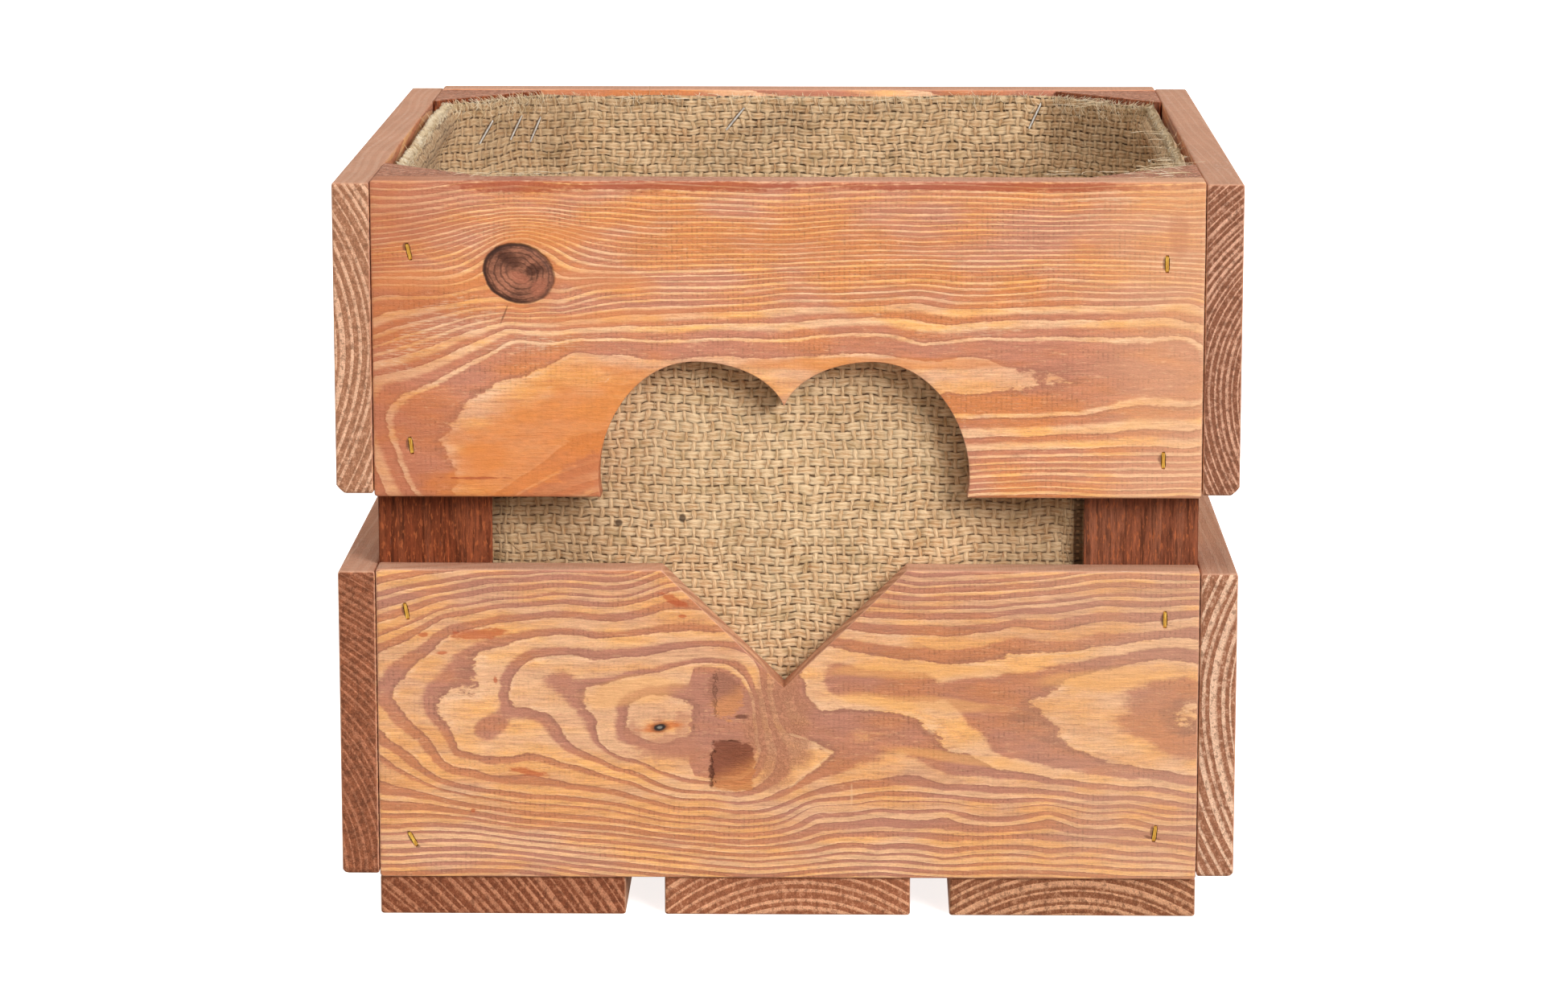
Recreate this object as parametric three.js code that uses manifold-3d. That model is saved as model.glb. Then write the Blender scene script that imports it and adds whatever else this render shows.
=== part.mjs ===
// Wooden crate with a heart sawn through its front boards, on four corner posts and three floor
// slats, lined with a jute bag. Millimetres, +Z up, front towards -Y. The origin is on the ground
// under the middle of the crate.

import * as THREE from "three";
import { mergeVertices } from "three/addons/utils/BufferGeometryUtils.js";
import Module from "manifold-3d";

// Boards
const BOARD_THICKNESS = 14;
const CROSS_BOARD_LENGTH = 312; // front and back boards, which sit between the side boards
const CROSS_BOARD_WIDTH = 120;
const SIDE_BOARD_LENGTH = 340; // the crate's depth
const SIDE_BOARD_SHORTFALL = 1; // a side board's edges stand inside the front board's by this much
const TIER_GAP = 28;
const EDGE_EASE = 0.7; // chamfer on every sawn edge

// Heart, whose lobes are in the upper front board and whose point is in the lower one
const HEART_OFFSET = -1.3; // off the crate's middle, towards the left
const HEART_HALF_WIDTH = 70;
const MOUTH_HALF_WIDTH = 69; // where the lobes meet the upper board's lower edge
const LOBE_RISE = 51.7; // top of a lobe above the upper board's lower edge
const LOBE_TOP_OFFSET = 33.3; // top of a lobe from the heart's middle
const CLEFT_RISE = 34.7;
const POINT_HALF_WIDTH = 46.5; // at the lower board's upper edge
const POINT_DEPTH = 45.5;
const SHOULDER_BULGE = 3.5; // handle of the lobe's outer curve, outside the heart's half width
const SHOULDER_HEIGHT = 0.38; // height of that handle, as a part of the lobe's rise
const OUTER_FULLNESS = 0.72; // how round the lobe is outside its top, where 1 is square
const INNER_FULLNESS = 0.46; // and between its top and the cleft
const CLEFT_FLARE = 0.12; // how far the curve's handle at the cleft stands off the heart's middle
const CLEFT_STEEPNESS = 0.6; // and how high it stands above the cleft
const CURVE_STEPS = 10;

// Corner posts, square timber ripped along its diagonal
const POST_SIDE = 45;
const POST_TOP_DROP = 0.4; // below the front boards' upper edge

// Floor slats
const SLAT_WIDTH = 94;
const SLAT_THICKNESS = 15;
const SLAT_SET_BACK = 2; // slat end behind the front board's face
const LEAST_SLAT_GAP = 8;

// Jute lining
const LINING_THICKNESS = 2;
const LINING_RIM_DROP = 3; // below the boards' upper edge
const LINING_CORNER_RADIUS = 7; // at the folds beside the posts, on the outside
const CORNER_STEPS = 4;

// Narrow-crown staples in the boards and slats, and fine-wire staples in the lining
const BOARD_STAPLE = { crown: 6.1, leg: 30, width: 1.25, thickness: 1 };
const LINING_STAPLE = { crown: 12.7, leg: 8, width: 0.7, thickness: 0.7 };
const SET_DEPTH = 0.4; // a crown below the wood's face
const POINT_SLOPE = 2; // length of a leg's chisel point over the wire's thickness
const CROWN_ROUND = 0.35; // chamfer at a crown's ends over the wire's thickness

// Clearances
const JOINT_GAP = 0.3; // between neighbouring pieces of wood
const CLOTH_GAP = 0.3; // between the lining and the wood
const WIRE_GAP = 0.3; // around a staple's wire

// Where the staples stand. A side board's are nearer its middle, so that the legs in a post pass
const STAPLE_INSET = 14; // from a post's square corner
const STAPLE_FROM_EDGE = 18; // from a front or back board's upper or lower edge
const SIDE_STAPLE_FROM_EDGE = 45;

// How far each staple strays from its place: along from the end, away from the edge, and its lean
const STRAYS = {
  front: {
    upper: {
      left: { top: [0.3, 8.9, 13], bottom: [0.2, 1.5, 8] },
      right: { top: [0.2, 13, 0], bottom: [0.6, -3.5, 0] },
    },
    lower: {
      left: { top: [-2.5, -1.7, 11], bottom: [-1.2, -3.3, 29] },
      right: { top: [-0.9, 0.7, 0], bottom: [1.9, -0.2, -7] },
    },
  },
  back: {
    upper: {
      left: { top: [-0.4, 6, -8], bottom: [0.3, -1, 5] },
      right: { top: [-1, 4.5, 12], bottom: [0.2, 0.5, -4] },
    },
    lower: {
      left: { top: [0, 0.6, 6], bottom: [0.8, -2, -12] },
      right: { top: [-1.2, -1, -5], bottom: [-0.3, -3, 9] },
    },
  },
  side: {
    upper: {
      left: { top: [0.2, 2, 7], bottom: [-0.3, -1, -6] },
      right: { top: [-0.7, 4, -11], bottom: [0.4, -2, 4] },
    },
    lower: {
      left: { top: [-0.3, 3, 5], bottom: [0.6, -2, 14] },
      right: { top: [0.5, 1, -3], bottom: [-0.2, 0, -9] },
    },
  },
};

// The fine staples that hold the lining: on a corner panel from its middle, on the back wall from a
// post, and how far below the boards' upper edge
const FINE_STAPLES = [
  { on: "corner_panel", along: -3.9, down: 15.9, lean: 39 },
  { on: "corner_panel", along: 13.2, down: 15.4, lean: 34 },
  { on: "corner_panel", along: 24.5, down: 16.8, lean: 31 },
  { on: "back_wall", side: -1, fromPost: 83.4, down: 12.8, lean: 39 },
  { on: "back_wall", side: 1, fromPost: 7.5, down: 11.1, lean: 25 },
];

// Places worked out from the sizes
const halfLength = CROSS_BOARD_LENGTH / 2;
const halfDepth = SIDE_BOARD_LENGTH / 2;
const sideBoardWidth = CROSS_BOARD_WIDTH - 2 * SIDE_BOARD_SHORTFALL;
const sideInner = halfLength + JOINT_GAP;
const crossInner = halfDepth - BOARD_THICKNESS;
const lowerBoardZ = SLAT_THICKNESS + JOINT_GAP;
const upperBoardZ = lowerBoardZ + CROSS_BOARD_WIDTH + TIER_GAP;
const topZ = upperBoardZ + CROSS_BOARD_WIDTH;

const wasm = await Module();
wasm.setup();

const finishes = {
  pine: new THREE.MeshStandardMaterial({ color: 0xd9935c, roughness: 0.55, metalness: 0 }),
  sidePine: new THREE.MeshStandardMaterial({ color: 0xc08763, roughness: 0.65, metalness: 0 }),
  post: new THREE.MeshStandardMaterial({ color: 0x7c4227, roughness: 0.6, metalness: 0 }),
  slat: new THREE.MeshStandardMaterial({ color: 0xa86f4d, roughness: 0.7, metalness: 0 }),
  jute: new THREE.MeshStandardMaterial({ color: 0xc8a57c, roughness: 0.95, metalness: 0 }),
  brass: new THREE.MeshStandardMaterial({ color: 0xc59a2e, roughness: 0.35, metalness: 1 }),
  steel: new THREE.MeshStandardMaterial({ color: 0x9ba3a2, roughness: 0.3, metalness: 1 }),
};

// A closed three.js geometry as a solid for cutting
function toSolid(geometry) {
  const bare = geometry.clone();
  bare.deleteAttribute("normal");
  bare.deleteAttribute("uv");
  const merged = mergeVertices(bare, 1e-4);
  return new wasm.Manifold(
    new wasm.Mesh({
      numProp: 3,
      vertProperties: new Float32Array(merged.attributes.position.array),
      triVerts: new Uint32Array(merged.index.array),
    }),
  );
}

// A solid back as a three.js geometry
function toGeometry(solid) {
  const { vertProperties, triVerts } = solid.getMesh();
  const geometry = new THREE.BufferGeometry();
  geometry.setAttribute("position", new THREE.BufferAttribute(vertProperties, 3));
  geometry.setIndex(new THREE.BufferAttribute(triVerts, 1));
  geometry.computeVertexNormals();
  return geometry;
}

function piece(name, geometry, material) {
  const mesh = new THREE.Mesh(geometry, material);
  mesh.name = name;
  return mesh;
}

// A shape sawn from stock of one thickness, with eased edges, centred on its thickness
function sawn(shape, thickness) {
  const geometry = new THREE.ExtrudeGeometry(shape, {
    depth: thickness - 2 * EDGE_EASE,
    bevelEnabled: true,
    bevelThickness: EDGE_EASE,
    bevelSize: EDGE_EASE,
    bevelOffset: -EDGE_EASE,
    bevelSegments: 1,
    curveSegments: CURVE_STEPS,
  });
  geometry.translate(0, 0, EDGE_EASE - thickness / 2);
  return toGeometry(toSolid(geometry));
}

function rectangle(length, width) {
  const shape = new THREE.Shape();
  shape.moveTo(-length / 2, -width / 2);
  shape.lineTo(length / 2, -width / 2);
  shape.lineTo(length / 2, width / 2);
  shape.lineTo(-length / 2, width / 2);
  shape.closePath();
  return shape;
}

// The upper front board: each lobe rises from the mouth to its top and falls to the cleft
function lobedBoard() {
  const low = -CROSS_BOARD_WIDTH / 2;
  const middle = HEART_OFFSET;
  const top = low + LOBE_RISE;
  const cleft = low + CLEFT_RISE;
  const shoulder = HEART_HALF_WIDTH + SHOULDER_BULGE;
  const shoulderY = low + SHOULDER_HEIGHT * LOBE_RISE;
  const crown = LOBE_TOP_OFFSET + OUTER_FULLNESS * (HEART_HALF_WIDTH - LOBE_TOP_OFFSET);
  const inner = LOBE_TOP_OFFSET * (1 - INNER_FULLNESS);
  const dip = LOBE_TOP_OFFSET * CLEFT_FLARE;
  const dipY = cleft + CLEFT_STEEPNESS * (top - cleft);
  const shape = new THREE.Shape();
  shape.moveTo(-halfLength, low);
  shape.lineTo(middle - MOUTH_HALF_WIDTH, low);
  shape.bezierCurveTo(middle - shoulder, shoulderY, middle - crown, top, middle - LOBE_TOP_OFFSET, top);
  shape.bezierCurveTo(middle - inner, top, middle - dip, dipY, middle, cleft);
  shape.bezierCurveTo(middle + dip, dipY, middle + inner, top, middle + LOBE_TOP_OFFSET, top);
  shape.bezierCurveTo(middle + crown, top, middle + shoulder, shoulderY, middle + MOUTH_HALF_WIDTH, low);
  shape.lineTo(halfLength, low);
  shape.lineTo(halfLength, -low);
  shape.lineTo(-halfLength, -low);
  shape.closePath();
  return shape;
}

// The lower front board, with the heart's point in its upper edge
function pointedBoard() {
  const high = CROSS_BOARD_WIDTH / 2;
  const shape = new THREE.Shape();
  shape.moveTo(-halfLength, -high);
  shape.lineTo(halfLength, -high);
  shape.lineTo(halfLength, high);
  shape.lineTo(HEART_OFFSET + POINT_HALF_WIDTH, high);
  shape.lineTo(HEART_OFFSET, high - POINT_DEPTH);
  shape.lineTo(HEART_OFFSET - POINT_HALF_WIDTH, high);
  shape.lineTo(-halfLength, high);
  shape.closePath();
  return shape;
}

// An outline in the plane of a staple, bent from flat wire and laid with its legs down
function bentFlat(shape, depth) {
  const geometry = new THREE.ExtrudeGeometry(shape, { depth, bevelEnabled: false });
  geometry.translate(0, 0, -depth / 2);
  geometry.rotateX(Math.PI / 2);
  return geometry;
}

// A staple: its crown lies along X with its top at z = 0, and its legs run down to chisel points
function stapleGeometry({ crown, leg, width, thickness }) {
  const outer = crown / 2;
  const inner = crown / 2 - thickness;
  const bevel = POINT_SLOPE * thickness;
  const corner = thickness * CROWN_ROUND;
  const shape = new THREE.Shape();
  shape.moveTo(-outer, -leg);
  shape.lineTo(-inner, bevel - leg);
  shape.lineTo(-inner, -thickness);
  shape.lineTo(inner, -thickness);
  shape.lineTo(inner, bevel - leg);
  shape.lineTo(outer, -leg);
  shape.lineTo(outer, -corner);
  shape.lineTo(outer - corner, 0);
  shape.lineTo(corner - outer, 0);
  shape.lineTo(-outer, -corner);
  shape.closePath();
  return bentFlat(shape, width);
}

// The slot that a staple sits in: its own outline with room around the wire, open above the crown
function slotGeometry({ crown, leg, width, thickness }) {
  const mouth = 2 * SET_DEPTH + thickness;
  const outer = crown / 2 + WIRE_GAP;
  const inner = crown / 2 - thickness - WIRE_GAP;
  const end = -leg - WIRE_GAP;
  const under = -thickness - WIRE_GAP;
  const shape = new THREE.Shape();
  shape.moveTo(-outer, end);
  shape.lineTo(-inner, end);
  shape.lineTo(-inner, under);
  shape.lineTo(inner, under);
  shape.lineTo(inner, end);
  shape.lineTo(outer, end);
  shape.lineTo(outer, mouth);
  shape.lineTo(-outer, mouth);
  shape.closePath();
  return bentFlat(shape, width + 2 * WIRE_GAP);
}

// Cuts the slot of a placed staple out of the pieces that it goes through
function cutSlot(staple, slot, held) {
  staple.updateWorldMatrix(true, false);
  for (const mesh of held) {
    mesh.updateWorldMatrix(true, false);
    const toPiece = mesh.matrixWorld.clone().invert().multiply(staple.matrixWorld);
    const cutter = toSolid(slot.clone().applyMatrix4(toPiece));
    mesh.geometry = toGeometry(toSolid(mesh.geometry).subtract(cutter));
  }
}

const crate = new THREE.Group();

// Corner posts, each with its square corner where two walls meet
const postHeight = topZ - POST_TOP_DROP - lowerBoardZ;
const posts = {};
const corners = [
  ["front_left", -1, -1, 0],
  ["front_right", 1, -1, 1],
  ["back_right", 1, 1, 2],
  ["back_left", -1, 1, 3],
];
for (const [corner, x, y, quarter] of corners) {
  const shape = new THREE.Shape();
  shape.moveTo(0, 0);
  shape.lineTo(POST_SIDE, 0);
  shape.lineTo(0, POST_SIDE);
  shape.closePath();
  const post = piece(`${corner}_post`, sawn(shape, postHeight), finishes.post);
  post.position.set(x * halfLength, y * (crossInner - JOINT_GAP), lowerBoardZ + postHeight / 2);
  post.rotation.z = (quarter * Math.PI) / 2;
  posts[corner] = post;
  crate.add(post);
}

// Floor slats, the outer two flush with the ends of the front board
const slatLength = SIDE_BOARD_LENGTH - 2 * SLAT_SET_BACK;
const slatCount = Math.floor((CROSS_BOARD_LENGTH + LEAST_SLAT_GAP) / (SLAT_WIDTH + LEAST_SLAT_GAP));
const slatPitch = (CROSS_BOARD_LENGTH - SLAT_WIDTH) / (slatCount - 1);
const slats = [];
for (let i = 0; i < slatCount; i += 1) {
  const geometry = sawn(rectangle(SLAT_WIDTH, slatLength), SLAT_THICKNESS);
  const slat = piece(`floor_slat_${i + 1}`, geometry, finishes.slat);
  slat.position.set(-halfLength + SLAT_WIDTH / 2 + i * slatPitch, 0, SLAT_THICKNESS / 2);
  slats.push(slat);
  crate.add(slat);
}

// Boards: each wall is a group turned about Z, with its outer face towards its own -Y
const walls = [
  { name: "front", turn: 0, posts: ["front_left", "front_right"] },
  { name: "right", turn: 1, posts: ["front_right", "back_right"] },
  { name: "back", turn: 2, posts: ["back_right", "back_left"] },
  { name: "left", turn: 3, posts: ["back_left", "front_left"] },
];
const boards = {};
for (const wall of walls) {
  const isSide = wall.turn % 2 === 1;
  const group = new THREE.Group();
  group.rotation.z = (wall.turn * Math.PI) / 2;
  crate.add(group);
  for (const tier of ["upper", "lower"]) {
    const length = isSide ? SIDE_BOARD_LENGTH : CROSS_BOARD_LENGTH;
    const width = isSide ? sideBoardWidth : CROSS_BOARD_WIDTH;
    const outward = isSide ? sideInner + BOARD_THICKNESS / 2 : crossInner + BOARD_THICKNESS / 2;
    let shape = rectangle(length, width);
    if (wall.name === "front") shape = tier === "upper" ? lobedBoard() : pointedBoard();
    const finish = isSide ? finishes.sidePine : finishes.pine;
    const board = piece(`${tier}_${wall.name}_board`, sawn(shape, BOARD_THICKNESS), finish);
    const base = tier === "upper" ? upperBoardZ : lowerBoardZ;
    board.position.set(0, -outward, base + CROSS_BOARD_WIDTH / 2);
    board.rotation.x = Math.PI / 2;
    board.userData = { width };
    boards[`${tier}_${wall.name}`] = board;
    group.add(board);
  }
}

// Staples through each end of each board into the post behind it
const staple = stapleGeometry(BOARD_STAPLE);
const slot = slotGeometry(BOARD_STAPLE);
for (const wall of walls) {
  const isSide = wall.turn % 2 === 1;
  const strays = isSide ? STRAYS.side : STRAYS[wall.name];
  const fromEdge = isSide ? SIDE_STAPLE_FROM_EDGE : STAPLE_FROM_EDGE;
  const postCorner = isSide ? crossInner - JOINT_GAP : halfLength;
  for (const tier of ["upper", "lower"]) {
    const board = boards[`${tier}_${wall.name}`];
    for (const [end, sign, postName] of [["left", -1, wall.posts[0]], ["right", 1, wall.posts[1]]]) {
      for (const [row, edge] of [["top", 1], ["bottom", -1]]) {
        const [along, across, lean] = strays[tier][end][row];
        const mesh = piece(`${tier}_${wall.name}_${end}_${row}_staple`, staple.clone(), finishes.brass);
        const frame = new THREE.Group();
        frame.position.set(
          sign * (postCorner - STAPLE_INSET - along),
          edge * (board.userData.width / 2 - fromEdge - across),
          BOARD_THICKNESS / 2 - SET_DEPTH,
        );
        frame.rotation.z = Math.PI / 2 + THREE.MathUtils.degToRad(lean);
        frame.add(mesh);
        board.add(frame);
        cutSlot(mesh, slot, [board, posts[postName]]);
      }
    }
  }
}

// Staples up through each end of each slat into the lower edge of the front or back board
for (const [i, slat] of slats.entries()) {
  for (const [end, sign] of [["front", -1], ["back", 1]]) {
    const mesh = piece(`floor_slat_${i + 1}_${end}_staple`, staple.clone(), finishes.brass);
    mesh.position.set(slat.position.x, sign * (halfDepth - BOARD_THICKNESS / 2), SET_DEPTH);
    mesh.rotation.x = Math.PI;
    crate.add(mesh);
    cutSlot(mesh, slot, [slat, boards[`lower_${end}`]]);
  }
}

// The lining's outline at a distance inside the wood: eight sides with rounded folds
function liningOutline(inset, radius) {
  const x = sideInner - inset;
  const y = crossInner - inset;
  const slant = halfLength + crossInner - JOINT_GAP - POST_SIDE - inset * Math.SQRT2;
  const points = [
    [x, slant - x], [slant - y, y], [y - slant, y], [-x, slant - x],
    [-x, x - slant], [y - slant, -y], [slant - y, -y], [x, x - slant],
  ].map(([px, py]) => new THREE.Vector2(px, py));
  const shape = new THREE.Shape();
  const reach = radius * Math.tan(Math.PI / 8);
  points.forEach((point, i) => {
    const before = points[(i + 7) % 8].clone().sub(point).setLength(reach).add(point);
    const after = points[(i + 1) % 8].clone().sub(point).setLength(reach).add(point);
    if (i === 0) shape.moveTo(before.x, before.y);
    else shape.lineTo(before.x, before.y);
    shape.quadraticCurveTo(point.x, point.y, after.x, after.y);
  });
  shape.closePath();
  return shape;
}

function liningLayer(inset, radius, low, high) {
  const geometry = new THREE.ExtrudeGeometry(liningOutline(inset, radius), {
    depth: high - low,
    bevelEnabled: false,
    curveSegments: CORNER_STEPS,
  });
  geometry.translate(0, 0, low);
  return toSolid(geometry);
}

const liningFloor = SLAT_THICKNESS + CLOTH_GAP;
const liningRim = topZ - LINING_RIM_DROP;
const liningInset = CLOTH_GAP + LINING_THICKNESS;
const bag = liningLayer(CLOTH_GAP, LINING_CORNER_RADIUS, liningFloor, liningRim).subtract(
  liningLayer(
    liningInset, LINING_CORNER_RADIUS - LINING_THICKNESS, liningFloor + LINING_THICKNESS, liningRim + 1),
);
const lining = piece("jute_lining", toGeometry(bag), finishes.jute);
crate.add(lining);

// Fine staples through the lining, on the panel over the back left post and on the back wall
const fineStaple = stapleGeometry(LINING_STAPLE);
const fineSlot = slotGeometry(LINING_STAPLE);
for (const [i, place] of FINE_STAPLES.entries()) {
  const mesh = piece(`lining_staple_${i + 1}`, fineStaple.clone(), finishes.steel);
  const frame = new THREE.Group();
  const panel = new THREE.Group();
  const onPost = place.on === "corner_panel";
  if (onPost) {
    const slide = (place.along + liningInset) * Math.SQRT1_2;
    const slideBack = (place.along - liningInset) * Math.SQRT1_2;
    const x = POST_SIDE / 2 - halfLength + slide;
    const y = crossInner - JOINT_GAP - POST_SIDE / 2 + slideBack;
    panel.position.set(x, y, topZ - place.down);
    panel.rotation.z = Math.PI / 4;
  } else {
    const x = place.side * (halfLength - POST_SIDE - place.fromPost);
    panel.position.set(x, crossInner - liningInset, topZ - place.down);
  }
  frame.rotation.x = Math.PI / 2;
  mesh.rotation.z = Math.PI / 2 - THREE.MathUtils.degToRad(place.lean);
  frame.add(mesh);
  panel.add(frame);
  crate.add(panel);
  const wood = onPost ? [posts.back_left, boards.upper_back] : [boards.upper_back];
  cutSlot(mesh, fineSlot, [lining, ...wood]);
}

export default crate;
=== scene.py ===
"""Finish of a small wooden crate with a heart sawn into its front, lined with jute.

The boards, posts and slats are modelled as worn, stained pine, the lining as a woven bag with folds and loose
fibres, and the staples as brass and steel wire. Lengths are in millimetres unless a name or a comment says
otherwise. Each piece's place and size come from the frame. Knots, stains and rings have places of their own.
"""

import math
import random

import bmesh
import bpy
import numpy as np
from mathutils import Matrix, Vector, geometry


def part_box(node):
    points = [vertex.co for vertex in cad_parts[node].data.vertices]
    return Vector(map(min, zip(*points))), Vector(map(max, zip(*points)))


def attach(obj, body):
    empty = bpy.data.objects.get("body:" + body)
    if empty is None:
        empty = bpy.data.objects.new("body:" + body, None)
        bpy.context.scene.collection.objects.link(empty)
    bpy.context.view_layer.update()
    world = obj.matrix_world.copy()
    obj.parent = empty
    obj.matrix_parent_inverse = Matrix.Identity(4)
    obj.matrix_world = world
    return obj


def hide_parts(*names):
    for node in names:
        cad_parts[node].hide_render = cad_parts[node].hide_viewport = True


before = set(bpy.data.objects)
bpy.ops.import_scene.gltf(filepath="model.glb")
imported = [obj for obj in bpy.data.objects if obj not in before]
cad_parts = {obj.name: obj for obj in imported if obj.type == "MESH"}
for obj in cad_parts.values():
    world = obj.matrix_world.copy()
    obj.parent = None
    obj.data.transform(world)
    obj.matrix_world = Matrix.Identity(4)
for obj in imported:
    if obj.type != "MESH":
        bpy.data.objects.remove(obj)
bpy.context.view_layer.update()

bl_info = {
    "name": "Crate with Heart",
    "version": (1, 0, 0),
    "blender": (4, 5, 0),
    "location": "View3D > Sidebar > Crate",
    "description": "Builds the boards, posts, slats, lining and staples of a small heart crate",
    "category": "Add Mesh",
}

MM = 0.001


# The frame's nodes, and new objects

def node_points(node):
    """A node's vertices."""
    return np.array([vertex.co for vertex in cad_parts[node].data.vertices]) / MM


def node_box(node):
    """The lowest and highest corner of a node."""
    low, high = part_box(node)
    return np.array(low) / MM, np.array(high) / MM


def add_object(name, data):
    """A new object in the scene's collection."""
    made = bpy.data.objects.new(name, data)
    bpy.context.scene.collection.objects.link(made)
    return made


# Colours

def paint(red, green, blue):
    """A colour given in the 0 to 255 steps of a screen, as the linear colour that shaders use."""
    steps = [value / 255 for value in (red, green, blue)]
    linear = [v / 12.92 if v <= 0.04045 else ((v + 0.055) / 1.055) ** 2.4 for v in steps]
    return (*linear, 1.0)


# Settings

def colour_setting(name, description, shade):
    """A colour that the user can change, with the shade that the crate has."""
    return bpy.props.FloatVectorProperty(
        name=name, description=description, subtype="COLOR", size=4, min=0, max=1, default=shade
    )


def length_setting(name, description, usual, least, most):
    """A length in millimetres that the user can change, with its usual value and its limits."""
    return bpy.props.FloatProperty(
        name=name, description=f"{description}, in millimetres", default=usual, min=least, max=most
    )


def count_setting(name, description, usual, most):
    """A number of things that the user can change."""
    return bpy.props.IntProperty(name=name, description=description, default=usual, min=0, max=most)


def strength_setting(name, description, usual):
    """A light's strength that the user can change."""
    return bpy.props.FloatProperty(name=name, description=description, default=usual, min=0)


class CrateWoodSettings(bpy.types.PropertyGroup):
    """Colours and wear of the boards, posts and slats."""

    early: colour_setting("Early wood", "Stained soft part of the front boards' rings", paint(182, 124, 102))
    late: colour_setting("Late wood", "Pale hard part of the front boards' rings", paint(234, 184, 140))
    sawn: colour_setting("Sawn edge", "Pale sawn edges of the boards", paint(204, 152, 124))
    post: colour_setting("Post", "Dark stain on the corner posts", paint(116, 56, 32))
    slat: colour_setting("Slat", "Stain on the floor slats", paint(176, 120, 88))
    rounding: length_setting("Edge rounding", "Radius worn onto the boards' edges", 0.9, 0.2, 3.0)
    mesh_step: length_setting("Mesh step", "Distance between points on a board's face", 2.2, 1.0, 8.0)


class CrateLiningSettings(bpy.types.PropertyGroup):
    """Colours, yarns and fibres of the jute lining."""

    pale: colour_setting("Pale yarn", "Palest jute yarns", paint(240, 210, 168))
    tan: colour_setting("Tan yarn", "Darker jute yarns", paint(196, 150, 104))
    across_pitch: length_setting("Upright yarns", "Distance between upright yarns", 3.55, 1, 6)
    height_pitch: length_setting("Level yarns", "Distance between level yarns", 3.38, 1, 6)
    thickness: length_setting("Cloth thickness", "Thickness of the jute", 1.5, 0.5, 2.0)
    fibres: count_setting("Loose fibres", "Number of fibres that stand off the weave", 3200, 7000)
    fringe: count_setting("Rim threads", "Number of short threads along the cut rim", 4600, 7000)
    strays: count_setting("Long fibres", "Number of long fibres that lie over the rim", 200, 600)


class CrateStageSettings(bpy.types.PropertyGroup):
    """Light and floor."""

    key: strength_setting("Key light", "Strength of the main light", 2.6)
    fill: strength_setting("Fill light", "Strength of the light all round", 0.42)
    glow: strength_setting("Floor glow", "Light from under the floor", 0.8)
    floor: colour_setting("Floor", "Colour of the floor", paint(250, 250, 250))


# Shader formulas

class Term:
    """A socket of a node tree that adds, scales and compares like a number."""

    def __init__(self, graph, socket):
        self.graph = graph
        self.socket = socket

    def __add__(self, other):
        return self.graph.math("ADD", self, other)

    def __sub__(self, other):
        return self.graph.math("SUBTRACT", self, other)

    def __rsub__(self, other):
        return self.graph.math("SUBTRACT", other, self)

    def __mul__(self, other):
        return self.graph.math("MULTIPLY", self, other)

    def __truediv__(self, other):
        return self.graph.math("DIVIDE", self, other)

    __radd__ = __add__
    __rmul__ = __mul__


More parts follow.
